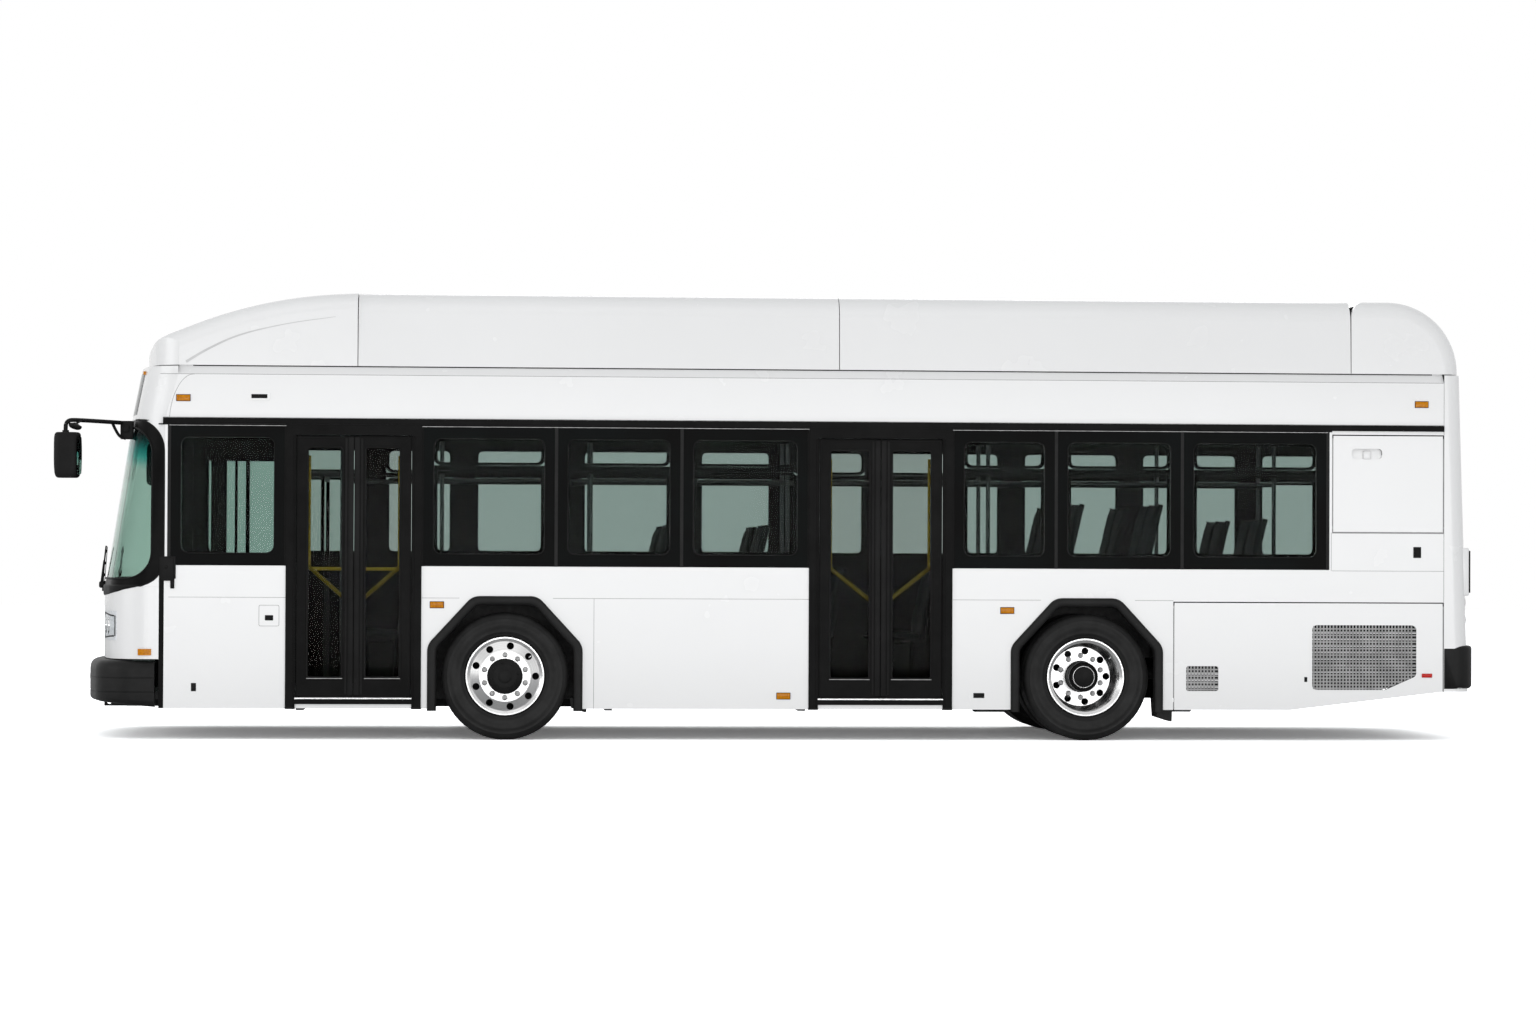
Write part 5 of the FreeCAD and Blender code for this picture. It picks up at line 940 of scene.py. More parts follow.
def latches():
    """Catches, a slot in a white surround, small blocks by the hatch and at the rear, the hatch's outline."""
    def black(work):
        for s, z, wide, high in CATCHES:
            for part, low, deep, round_by in ((2000, 0.003, 0.004, 0.004), (4000, 0.009, -0.001, 0.003)):
                rise = high / (part / 1000)
                side_box(work, -1, (at(s) - wide / part, at(s) + wide / part), (SKIN + low, SKIN - deep),
                         ((z - rise) / 1000, (z + rise) / 1000), round_by)
        out = (SKIN + 0.003, SKIN - 0.004)
        side_box(work, -1, (at(1398 - 62), at(1398 + 62)), out, (2.662, 2.694), 0.006)
        side_box(work, -1, (at(1450), at(1515)), out, (0.930, 0.972), 0.005)
        side_box(work, -1, (at(1465), at(1500)), (SKIN + 0.008, SKIN + 0.001), (0.938, 0.962), 0.004)

    def white(work):
        outer = rounded_loop(at(1398 - 84), at(1398 + 84), 2.645, 2.712, 0.02)
        inner = rounded_loop(at(1398 - 64), at(1398 + 64), 2.661, 2.695, 0.006)
        add_ring(work, outer, inner, -SKIN - 0.010, 0.012)
        side_box(work, -1, (at(10118), at(10182)), (SKIN + 0.006, SKIN - 0.03), (2.236, 2.306), 0.012, 3)

    def hatch(work):
        s, z, wide, high = HATCH
        x0, x1 = at(s) - wide / 2000, at(s) + wide / 2000
        z0, z1 = (z - high / 2) / 1000, (z + high / 2) / 1000
        outer = rounded_loop(x0, x1, z0, z1, 0.012)
        inner = rounded_loop(x0 + SEAM, x1 - SEAM, z0 + SEAM, z1 - SEAM, 0.010)
        add_ring(work, outer, inner, -SKIN - 0.0004)

    flat_piece("side_catches", black, "plastic")
    crisp_piece("slot_surround", white, "white")
    flat_piece("hatch_outline", hatch, "seam")


# The amber side lamps: station and height.
AMBER = ((810, 2662), (2785, 1057), (5503, 349), (7273, 1027), (10589, 2678))


def lamps():
    """Rounded lenses over the CAD's lamp blocks, each on a thin black seat."""
    def blocks(wide, high, out, round_by, segments):
        def build(work):
            for side in SIDES:
                for s, z in AMBER:
                    side_box(work, side, (at(s) - wide, at(s) + wide), out,
                             (z / 1000 - high, z / 1000 + high), round_by, segments)
        return build

    made = crisp_piece("amber_lenses", blocks(0.052, 0.023, (SKIN, SKIN + 0.0118), 0.006, 3), "amber")
    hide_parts("side_lamps")
    flat_piece("lamp_seats", blocks(0.056, 0.027, (SKIN - 0.002, SKIN + 0.004), 0.003, 2), "black")

    def red(work):
        for side in SIDES:
            side_box(work, side, (at(10635 - 42), at(10635 + 42)), (SKIN + 0.008, SKIN), (0.505, 0.537),
                     0.005, 3)

    made = crisp_piece("red_side_lenses", red, "red", body="lid_engine_side")


# ---------------------------------------------------------------- grilles

MESH_PITCH, MESH_WIRE = 0.0262, 0.0115


def mesh_sheet(name, outline, pitch, thick, y, body, material):
    """A woven sheet: crossing wires clipped to an outline of X and Z."""
    def span(level, axis):
        """Where the outline crosses a level, along one axis."""
        hits = []
        for a, b in zip(outline, outline[1:] + outline[:1]):
            if (a[axis] - level) * (b[axis] - level) < 0:
                t = (level - a[axis]) / (b[axis] - a[axis])
                hits.append(a[1 - axis] + t * (b[1 - axis] - a[1 - axis]))
        return sorted(hits)

    def wires(work):
        for axis in (0, 1):
            low, high = min(p[axis] for p in outline), max(p[axis] for p in outline)
            count = int((high - low) / pitch)
            for i in range(1, count + 1):
                level = low + (i - 0.5) * pitch
                hits = span(level, axis)
                if len(hits) < 2:
                    continue
                a, b = hits[0], hits[-1]
                half = thick / 2
                if axis == 0:
                    add_box(work, (level - half, y - 0.001, a), (level + half, y + 0.001, b))
                else:
                    add_box(work, (a, y - 0.002, level - half), (b, y, level + half))

    return flat_piece(name, wires, material, body)


def grilles():
    """Woven sheets over the engine's two openings, with a dark sheet behind them."""
    body = "lid_engine_side"
    big = [(at(9711), 0.425), (at(9711), 0.901), (at(9730), 0.920), (at(10530), 0.920), (at(10549), 0.901),
           (at(10549), 0.530), (at(10530), 0.510), (at(10300), 0.416), (at(10280), 0.406), (at(9730), 0.406)]
    small = [(at(8701), 0.395), (at(8701), 0.592), (at(8958), 0.592), (at(8958), 0.395)]
    for word, loop in (("large", big), ("small", small)):
        mesh_sheet("grille_sheet_" + word, loop, MESH_PITCH, MESH_WIRE, -SKIN - 0.0005, body, "sheet")

    def backing(work):
        for loop in (big, small):
            work.faces.new([work.verts.new((x, -SKIN + 0.030, z)) for x, z in loop])

    flat_piece("grille_backing", backing, "black", body)


def lid_edges():
    """Pale rubber on the free edges of the side lids, filling most of the gap round each."""
    rubber, past = 0.006, 0.0005
    y0, y1 = -SKIN + 0.0005, -SKIN + 0.006

    def upper(work):
        a, b, low, high = at(9878), at(10761), 1.662, 2.425
        add_box(work, (a - rubber, y0, low - rubber), (a + past, y1, high - 0.02))
        add_box(work, (b - past, y0, low - rubber), (b + rubber, y1, high - 0.02))
        add_box(work, (a, y0, low - rubber), (b, y1, low + past))

    def lower(work):
        a, b = at(8606), at(10761)
        add_box(work, (a - rubber, y0, 0.250), (a + past, y1, 1.073))
        add_box(work, (b - past, y0, 0.396), (b + rubber, y1, 1.073))

    flat_piece("service_lid_edges", upper, "edge", "lid_service_side")
    flat_piece("engine_lid_edges", lower, "edge", "lid_engine_side")


window_frits()
inner_window_frames()
seams()
latches()
lamps()
grilles()
lid_edges()


# ---------------------------------------------------------------- wheels

OUTER_Y, INNER_Y = 1.1125, 0.7775      # middles of the outer and inner tyres
TYRE_R, NUT_CIRCLE = 0.499, 0.1675


def add_lathe(work, profile, x, y, z, side, steps=72, closed=True):
    """A profile of radius and distance outward, turned about an axle along Y; side is -1 or 1."""
    rings = []
    for r, out in profile:
        if r < 1e-6:
            rings.append([work.verts.new((x, y + side * out, z))])
            continue
        rings.append([work.verts.new((x + r * math.cos(a), y + side * out, z + r * math.sin(a)))
                      for a in turns(steps)])
    join_rings(work, rings, closed)


def add_turned_x(work, profile, x, y, z, steps, way=-1):
    """A profile of radius and distance outward, turned about a line along X."""
    join_rings(work, [[work.verts.new((x + way * out, y + r * math.cos(a), z + r * math.sin(a)))
                       for a in turns(steps)] for r, out in profile])


def tyre_profile():
    """Radius and distance out from the tyre's middle: beads, raised sidewall rings and four tread grooves."""
    side = [(0.288, 0.098), (0.306, 0.1045), (0.318, 0.112), (0.322, 0.119), (0.330, 0.121), (0.334, 0.124),
            (0.345, 0.138), (0.352, 0.1405), (0.356, 0.1395), (0.380, 0.1485), (0.403, 0.1525),
            (0.418, 0.1522), (0.424, 0.1495), (0.446, 0.1478), (0.452, 0.1492), (0.458, 0.1455),
            (0.470, 0.1425), (0.478, 0.1375), (0.488, 0.131), (0.4945, 0.122), (0.4978, 0.113)]
    tread = []
    for middle in (0.083, 0.028):
        tread += [(TYRE_R, middle + 0.0085), (0.485, middle + 0.0055), (0.485, middle - 0.0055),
                  (TYRE_R, middle - 0.0085)]
    half = side + tread
    return half + [(r, -out) for r, out in half[::-1]]


def wheel_places():
    """Each wheel's word, body, X, side and whether it is twinned."""
    return (("front_left", "wheel_front_left", AXLE_FRONT, -1, False),
            ("front_right", "wheel_front_right", AXLE_FRONT, 1, False),
            ("rear_left", "wheels_rear_left", AXLE_REAR, -1, True),
            ("rear_right", "wheels_rear_right", AXLE_REAR, 1, True))


def add_sipes(work, x, y):
    """Raised shoulder blocks that overlap the tread's edge, so that it looks cut across."""
    count = 60
    for k in range(count):
        a = 2 * math.pi * (k + 0.5) / count
        for edge in (-1, 1):
            points = []
            for da in (-0.32, 0.32):
                b = a + da * 2 * math.pi / count
                for r, out in ((0.4755, 0.1398), (0.4865, 0.1345), (0.4945, 0.1255), (0.4988, 0.1135)):
                    points.append(work.verts.new((x + r * math.cos(b), y + edge * out,
                                                  AXLE_Z + r * math.sin(b))))
            for i in range(3):
                work.faces.new((points[i], points[i + 1], points[i + 5], points[i + 4]))


def add_nut(work, x, y, z, side, size, height, turn):
    """A wheel nut with a flange, a chamfered hexagon and its stud's end."""
    rows = ((size * 1.35, 0.0, 24), (size * 1.3, 0.003, 24), (size * 1.02, 0.0045, 24))
    add_lathe(work, [(0, 0)] + [(r, out) for r, out, _ in rows] + [(0, 0.0045)], x, y, z, side, 16, False)
    rings = []
    for r, out in ((size, 0.004), (size, height * 0.82), (size * 0.82, height)):
        rings.append([work.verts.new((x + r * math.cos(turn + a), y + side * out, z + r * math.sin(turn + a)))
                      for a in turns(6)])
    join_rings(work, rings)
    work.faces.new(rings[-1])
    add_lathe(work, [(0, height), (size * 0.45, height), (size * 0.45, height + 0.006),
                     (size * 0.35, height + 0.008), (0, height + 0.008)], x, y, z, side, 10, False)


def round_axle(x, r, a):
    """X and Z of a place round an axle."""
    return x + r * math.cos(a), AXLE_Z + r * math.sin(a)


def wheel_dress():
    """On each wheel grooved tyres, its nuts, a stepped hub cap with small bolts, and a valve."""
    for word, body, x, side, twin in wheel_places():
        middle = side * OUTER_Y

        def rubber(work):
            for y in ((middle, side * INNER_Y) if twin else (middle,)):
                add_lathe(work, tyre_profile(), x, y, AXLE_Z, 1)
                add_sipes(work, x, y)

        node = ("tyres_" if twin else "tyre_") + word
        tyre = crisp_piece(f"{node}_treaded", rubber, "tyre", 40, body)
        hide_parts(node)

        face = side * (0.959 if twin else 1.2525)        # the disc that the nuts sit on

        def nuts(work):
            for turn in turns(10):
                px, pz = round_axle(x, NUT_CIRCLE, math.pi / 2 + turn)
                add_nut(work, px, face, pz, side, 0.0165, 0.024, math.pi / 2 + turn)

        crisp_piece(f"wheel_nuts_{word}", nuts, "nut", 35, body)

        if twin:
            cap = [(0.0, 0.005), (0.072, 0.005), (0.080, 0.001), (0.087, -0.002), (0.1165, -0.024),
                   (0.1195, -0.032), (0.1195, -0.160), (0.126, -0.164), (0.126, -0.172)]
            start = side * 1.1355
        else:
            cap = [(0.0, 0.0055), (0.038, 0.005), (0.050, 0.003), (0.053, 0.001), (0.060, 0.001),
                   (0.088, 0.0025), (0.094, 0.001), (0.131, -0.0115), (0.1375, -0.0145), (0.1395, -0.021),
                   (0.1395, -0.0335)]
            start = side * 1.2888

        def hub(work):
            add_lathe(work, cap, x, start, AXLE_Z, side, 64, False)
            r, out = (0.100, -0.012) if twin else (0.104, -0.003)
            for turn in turns(8):
                px, pz = round_axle(x, r, turn + 0.2)
                add_nut(work, px, start + side * out, pz, side, 0.0065, 0.006, turn + 0.2)

        crisp_piece(f"hub_cap_{word}", hub, "plastic", 35, body)

        def valve(work):
            foot, tip = (round_axle(x, r, math.radians(38)) for r in (0.232, 0.262))
            y0 = middle + side * (0.105 if twin else 0.142)
            add_tube(work, [(foot[0], y0, foot[1]), (tip[0], y0 + side * 0.004, tip[1])], 0.004, 8)

        smooth_piece(f"tyre_valve_{word}", valve, "chrome", body)


wheel_dress()


# ---------------------------------------------------------------- mirrors, wipers and the front's fittings

RACK_Z = 0.470
ARM_Z = 2.480


def mirror_rows(x, y, side):
    """A mirror case as rows of points: rounded sections, cut flat where the glass lies."""
    look = Vector((math.cos(math.radians(10)), side * math.sin(math.radians(10)), 0))
    wide = Vector((-look.y, look.x, 0))
    rows = []
    power = 2 / 3.4                # how square the case's sections are
    for z, share in ((2.031, 0.70), (2.036, 0.80), (2.048, 0.885), (2.070, 0.945), (2.110, 0.98),
                     (2.180, 1.0), (2.300, 1.0), (2.345, 0.985), (2.366, 0.95), (2.378, 0.89), (2.384, 0.80)):
        row = []
        for a in turns(32):
            c, n = math.cos(a), math.sin(a)
            d = 0.100 * share * abs(c) ** power * (1 if c > 0 else -1)
            w = 0.0865 * share * abs(n) ** power * (1 if n > 0 else -1)
            d = min(d, 0.0905)
            row.append(Vector((x, y, z)) + look * d + wide * w)
        rows.append(row)
    return rows, look, wide


def add_rows(work, rows):
    """Rings of points joined into a closed skin."""
    rings = [[work.verts.new(p) for p in row] for row in rows]
    join_rings(work, rings)
    work.faces.new(rings[0][::-1])
    work.faces.new(rings[-1])


def mirrors():
    """Rounded cases on bent arms, each with its glass, and a small round wide-angle mirror."""
    places = ((at(-68), -1.385, -1), (at(350), 1.385, 1))

    def cases(work):
        for x, y, side in places:
            add_rows(work, mirror_rows(x, y, side)[0])
            arm_x = x - 0.016 if side < 0 else x
            drop = [(arm_x, y, 2.375), (arm_x, y, 2.425), (arm_x + 0.004, y + side * -0.002, 2.452),
                    (arm_x + 0.022, y - side * 0.010, 2.473), (arm_x + 0.056, y - side * 0.028, ARM_Z)]
            if side < 0:
                run = drop + [(at(60), -1.262, ARM_Z), (at(180), -1.110, ARM_Z - 0.002),
                              (at(300), -0.930, ARM_Z - 0.004)]
            else:
                run = [(x, y, 2.375), (x, y, 2.43), (x + 0.012, y - 0.012, 2.460),
                       (x + 0.05, y - 0.055, 2.468), (at(480), 1.240, 2.434), (at(559), 1.157, 2.392)]
            add_tube(work, soft_spline(run, 6), 0.0165, 12)
            add_tube(work, [(arm_x, y, 2.376), (arm_x, y, 2.400)], 0.026, 16)
        plate_y = -0.930
        add_box(work, (at(287), plate_y - 0.013, 2.346), (at(392), plate_y + 0.013, 2.492), 0.010, 3)
        add_box(work, (at(300), plate_y - 0.020, 2.400), (at(360), plate_y + 0.020, 2.460), 0.008, 2)
        add_tube(work, soft_spline([(at(232), -1.006, ARM_Z - 0.006), (at(252), -0.982, 2.425),
                                    (at(284), -0.952, 2.372), (at(330), -0.932, 2.352)], 5), 0.012, 10)

    def bowls(work):
        spot_x, spot_y, spot_z = at(-12), -1.372, 2.437
        rows = []
        for r, down in ((0.002, -0.030), (0.020, -0.029), (0.036, -0.024), (0.047, -0.014), (0.0505, -0.002),
                        (0.050, 0.004), (0.046, 0.008), (0.030, 0.012), (0.012, 0.020), (0.003, 0.022)):
            rows.append([Vector((spot_x + r * math.cos(a) + 0.28 * down, spot_y + r * math.sin(a),
                                 spot_z + down - 0.30 * r * math.cos(a)))
                         for a in turns(28)])
        add_rows(work, rows)
        add_tube(work, soft_spline([(at(30), -1.330, ARM_Z - 0.004), (at(14), -1.350, 2.466),
                                    (at(-6), -1.368, 2.452)], 4), 0.008, 8)

    def faces(work):
        for x, y, side in places:
            _, look, wide = mirror_rows(x, y, side)
            grid = []
            for i in range(9):
                v = -1 + 2 * i / 8
                line = []
                for j in range(9):
                    w = -1 + 2 * j / 8
                    pull = 1 - 0.10 * w * w * v * v
                    line.append(Vector((x, y, 2.206 + 0.150 * v * pull)) + wide * (0.066 * w * pull)
                                + look * (0.0925 + 0.004 * (1 - 0.5 * w * w - 0.5 * v * v)))
                grid.append(line)
            add_sheet(work, grid)

    made = crisp_piece("mirror_cases", cases, "plastic", 45)
    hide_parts("mirrors")
    crisp_piece("mirror_bowl", bowls, "plastic", 60)
    crisp_piece("mirror_faces", faces, "mirror", 60)


def wipers():
    """Two wipers parked upright: a capped pivot, a sprung arm and a rubber blade."""
    def arms(work):
        for foot_y, tip_y in ((-0.420, -0.520), (0.620, 0.520)):
            foot = Vector((at(88), foot_y, 1.203))
            tip = Vector((at(137), tip_y, 1.508))
            way = (tip - foot).normalized()
            add_turned_x(work, [(0.001, 0.016), (0.020, 0.015), (0.026, 0.008), (0.028, -0.010),
                                (0.030, -0.050)], foot.x, foot.y, foot.z - 0.004, 20)
            add_tube(work, [foot, foot + way * 0.10, foot + way * 0.20], 0.0085, 10)
            add_tube(work, [foot + way * 0.02 + Vector((0, 0.020, 0)),
                            foot + way * 0.20 + Vector((0, 0.006, 0))], 0.0045, 8)
            a, b = foot + way * 0.012 + Vector((0.012, 0, -0.066)), tip
            add_tube(work, soft_spline([a, a.lerp(b, 0.3) + Vector((-0.004, 0, 0)),
                                        a.lerp(b, 0.7) + Vector((-0.004, 0, 0)), b], 4), 0.0065, 8)
            add_tube(work, [a + Vector((0.010, 0, 0.01)), b + Vector((0.010, 0, -0.006))], 0.0035, 6)
            for t in (0.12, 0.36, 0.62, 0.88):
                p = a.lerp(b, t)
                add_box(work, p - Vector((0.006, 0.008, 0.012)), p + Vector((0.010, 0.008, 0.012)), 0.003)

    made = crisp_piece("wiper_arms", arms, "plastic", 45)
    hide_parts("wipers")


def front_fittings():
    """The front seam's brackets, amber lamps, the markers over the sign and the rack's bolt rings."""
    def bracket(work):
        for side in SIDES:
            for s0, s1, low, high, out, round_by in ((634, 760, 1.252, 1.427, 0.010, 0.006),
                                                     (646, 744, 1.236, 1.418, 0.016, 0.006),
                                                     (718, 750, 1.176, 1.262, 0.012, 0.006),
                                                     (674, 700, 1.330, 1.356, 0.022, 0.009)):
                side_box(work, side, (at(s0), at(s1)), (SKIN + out, SKIN - 0.004), (low, high), round_by, 3)

    def amber(work):
        for side in SIDES:
            grid = [[skin_at(MASK, station_row(MASK, 0.522 + ds, z), z, side, proud)
                     for ds, proud in ((-0.052, 0.0), (-0.050, 0.008), (-0.02, 0.011), (0.02, 0.011),
                                       (0.050, 0.008), (0.052, 0.0))]
                    for z in (0.656, 0.658, 0.681, 0.704, 0.706)]
            add_sheet(work, grid)

    crisp_piece("seam_brackets", bracket, "plastic", 35)
    made = crisp_piece("front_amber_lenses", amber, "amber", 35)

    def marks(work):
        for y in MARKER_YS:
            place = skin_at(HEADER, nearest_row(y), MARKER_Z, -1 if y < 0 else 1)
            before, behind = Vector((0.012, 0.040, 0.014)), Vector((0.02, 0.040, 0.014))
            add_box(work, place - before, place + behind, 0.005, 3)

    made = crisp_piece("front_marker_lenses", marks, "amber", 35)

    def rings(work):
        for y in (-0.45, 0.45):
            row = nearest_row(y)
            add_turned_x(work, [(0.0005, -0.012), (0.017, -0.012), (0.018, 0.001), (0.026, 0.001),
                                (0.030, -0.003), (0.030, -0.012)], NOSE + row[0] + 0.0015, y, RACK_Z, 24)

    crisp_piece("rack_bolt_rings", rings, "nut", 40)


# ---------------------------------------------------------------- doors

# Each leaf: its node, its body, its hinge edge and free edge as stations.
LEAVES = (("door_front_fore", "leaf_front_fore", 1.6920, 2.1325),
          ("door_front_aft", "leaf_front_aft", 2.5810, 2.1405),
          ("door_rear_fore", "leaf_rear_fore", 5.7830, 6.2640),
          ("door_rear_aft", "leaf_rear_aft", 6.7530, 6.2720))
LEAF_SKIN, LEAF_BACK, BAR_Y = -1.290, -1.254, -1.199
LEAF_Z = (0.338, 2.371)
LEAF_GLASS_Z = (0.486, 2.285)
STILE = 0.084


def add_half_round(work, x0, x1, z0, z1, y, rise):
    """An upright strip with a rounded face that stands out towards -Y."""
    middle, half, steps = (x0 + x1) / 2, (x1 - x0) / 2, 8
    rows = []
    for z, share in ((z0, 0.0), (z0 + 0.004, 0.8), (z0 + 0.010, 1.0), (z1 - 0.010, 1.0), (z1 - 0.004, 0.8),
                     (z1, 0.0)):
        rows.append([Vector((middle - half * math.cos(math.pi * k / steps), y - rise * share *
                             math.sin(math.pi * k / steps) ** 0.6, z)) for k in range(steps + 1)])
    add_sheet(work, rows)


def door_dress():
    """On each leaf its rubber edges, a bright strip below its pane and yellow grips."""
    for node, body, hinge, free in LEAVES:
        way = 1 if free > hinge else -1
        low_x, high_x = sorted((at_metres(hinge), at_metres(free)))
        glass_x = (low_x + STILE, high_x - STILE)

        def rubber(work):
            edge = at_metres(free) + way * 0.0025
            a, b = sorted((edge, edge - way * 0.044))
            add_half_round(work, a, b, LEAF_Z[0] + 0.004, LEAF_Z[1] - 0.004, LEAF_SKIN, 0.0075)
            inner = edge - way * 0.050
            a, b = sorted((inner, inner - way * 0.018))
            add_half_round(work, a, b, LEAF_Z[0] + 0.012, LEAF_Z[1] - 0.012, LEAF_SKIN, 0.004)
            loop = rounded_loop(glass_x[0] + 0.002, glass_x[1] - 0.002, LEAF_GLASS_Z[0] + 0.002,
                                LEAF_GLASS_Z[1] - 0.002, 0.022, 5)
            add_tube(work, [(x, LEAF_SKIN - 0.0005, z) for x, z in loop], 0.006, 8, True)
            outer = rounded_loop(low_x + 0.010, high_x - 0.010, LEAF_Z[0] + 0.012, LEAF_Z[1] - 0.012,
                                 0.012, 4)
            add_tube(work, [(x, LEAF_SKIN, z) for x, z in outer], 0.0025, 6, True)

        def strip(work):
            add_box(work, (glass_x[0] - 0.004, LEAF_SKIN - 0.0075, LEAF_GLASS_Z[0] - 0.009),
                    (glass_x[1] + 0.004, LEAF_SKIN - 0.001, LEAF_GLASS_Z[0] - 0.004), 0.001)

        def bars(work):
            top, foot = at_metres(hinge) + way * 0.054, at_metres(free) - way * 0.054
            high, low, r = 1.385, 1.090, 0.0163          # a sloping bar's ends and its radius
            for x, z in ((top, high), (foot, low)):
                add_tube(work, [(x, LEAF_BACK, z), (x, BAR_Y, z)], r, 14)
            add_tube(work, [(top, BAR_Y, high), (foot, BAR_Y, low)], r, 14)
            for x, z in ((top, high), (foot, low)):
                add_turned_y(work, [(0.001, 0.0), (r * 1.02, 0.0), (r * 1.02, -0.012), (0.024, -0.050),
                                    (0.030, -0.054)], x, BAR_Y + 0.0005, z, 20)
            x = at_metres(hinge) + way * (STILE + 0.010)
            add_tube(work, [(x, BAR_Y, 1.36), (x, BAR_Y, 2.22)], 0.0115, 12)
            for z in (1.42, 2.16):
                add_tube(work, [(x, BAR_Y, z), (x - way * 0.024, LEAF_BACK, z)], 0.009, 10)
            if "front" in node:
                a, b, level = x, at_metres(free) - way * 0.060, 1.335
                add_tube(work, [(a, BAR_Y, level), (b, BAR_Y, level)], 0.0135, 12)
                add_tube(work, [(b, BAR_Y, level), (b, LEAF_BACK, level)], 0.0135, 12)

        crisp_piece(f"{node}_rubber", rubber, "plastic", 45, body)
        flat_piece(f"{node}_sill_trim", strip, "trim", body)
        crisp_piece(f"{node}_grip", bars, "yellow", 40, body)


def add_turned_y(work, profile, x, y, z, steps):
    """A profile of radius and distance out towards +Y, turned about a line along Y."""
    join_rings(work, [[work.verts.new((x + r * math.cos(a), y + out, z + r * math.sin(a)))
                       for a in turns(steps)] for r, out in profile])


def doorway_trim():
    """Black covers over each doorway, a bright edge on its sill, black feet and the white skirt below it."""
    def covers(work):
        for station, width in DOORWAYS:
            a, b = at(station), at(station + width)
            add_box(work, (a, -1.3053, 2.430), (b, -1.2920, 2.4635), 0.001)
            for x0, x1 in ((a - 0.0135, a + 0.002), (b - 0.002, b + 0.0135)):
                add_box(work, (x0, -1.2960, 1.357), (x1, -1.2920, 2.462), 0.001)
            for x in (a + 0.075, b - 0.075):
                side = 1 if x < (a + b) / 2 else -1
                x0, x1 = sorted((x, x + side * 0.0042))
                add_box(work, (x0, -1.3000, 0.345), (x1, -1.2935, 2.370))
                x0, x1 = sorted((x - side * 0.020, x - side * 0.006))
                add_half_round(work, x0, x1, 0.262, 2.372, -1.3050, 0.0045)

    def strip(inset, out, z, round_by):
        def build(work):
            for station, width in DOORWAYS:
                side_box(work, -1, (at(station) + inset, at(station + width) - inset), out, z, round_by)
        return build

    def feet(work):
        for station, width in DOORWAYS:
            for x0 in (at(station), at(station + width) - 0.075):
                add_box(work, (x0 - 0.002, -1.3065, 0.2405), (x0 + 0.077, -1.2840, 0.256), 0.002)

    flat_piece("doorway_covers", covers, "black")
    flat_piece("doorway_sill_edges", strip(0.072, (1.3010, 1.3085), (0.3185, 0.3300), 0.0015), "chrome")
    flat_piece("doorway_skirts", strip(0.075, (1.2860, 1.2935), (0.2465, 0.2795), 0.001), "white")
    flat_piece("doorway_feet", feet, "plastic")


# ---------------------------------------------------------------- seats

# Each row of seats: station of its cushions' front edge, sides, height it is built from, its foot's height.
SEAT_ROWS = ((2.019, (1,), 0.360, 0.360), (4.060, (-1, 1), 0.700, 0.360), (4.828, (-1, 1), 0.700, 0.360),
             (5.595, (1,), 0.360, 0.360), (6.362, (1,), 0.360, 0.360), (7.330, (-1, 1), 0.880, 1.190),
             (7.960, (-1, 1), 0.880, 1.190), (8.800, (-1, 1), 0.770, 0.770))
BENCH = (9.800, 0.785, 1.130)      # the same for the rear bench, without sides
DRIVER = (1.060, 0.700, 0.410, 0.360)      # and for the driver's seat, with its place across
SEAT_RISE = 0.450                  # from the height a seat is built from to its cushion's top
PAIR_Y = 0.780                     # the middle of a pair of seats
PAD_W, PAD_D, PAD_H = 0.410, 0.415, 0.052
BACK_H, BACK_T = 0.560, 0.048


def pad_mesh(name, wide, deep, thick, across=22, along=22):
    """A crowned cushion lying flat, filled by cloth pressure; its sewn lines come after."""
    work = bmesh.new()
    skin = {}

    def place(i, j, top):
        u, v = -1 + 2 * i / across, -1 + 2 * j / along
        rim = max(abs(u), abs(v))
        key = (i, j, 0 if rim > 0.999 else top)
        if key not in skin:
            pull = 1 - 0.020 * (1 - abs(u)) * (abs(v) > 0.999) - 0.020 * (1 - abs(v)) * (abs(u) > 0.999)
            corner = 1 - 0.045 * (abs(u) * abs(v)) ** 6
            crown = (1 - abs(u) ** 5) * (1 - abs(v) ** 5)
            z = (thick / 2) * (crown ** 0.45 if rim < 0.999 else 0) * (1 if top == 1 else -0.7)
            skin[key] = work.verts.new((wide / 2 * u * pull * corner, deep / 2 * v * pull * corner, z))
        return skin[key]

    for top in (1, -1):
        for i in range(across):
            for j in range(along):
                face = [place(i, j, top), place(i + 1, j, top), place(i + 1, j + 1, top),
                        place(i, j + 1, top)]
                work.faces.new(face if top == 1 else face[::-1])
    mesh = closed_mesh(name, work)
    fill_with_cloth(mesh)
    for vert in mesh.vertices:
        u, v = vert.co.x / (wide / 2), vert.co.y / (deep / 2)
        if vert.co.z > 0:
            for seam in (-0.56, 0.56):
                vert.co.z -= 0.006 * math.exp(-((u - seam) / 0.045) ** 2) * (1 - min(1, abs(v)) ** 8)
            vert.co.z -= 0.004 * math.exp(-((v - 0.50) / 0.05) ** 2) * (1 - min(1, abs(u)) ** 8)
    return mesh


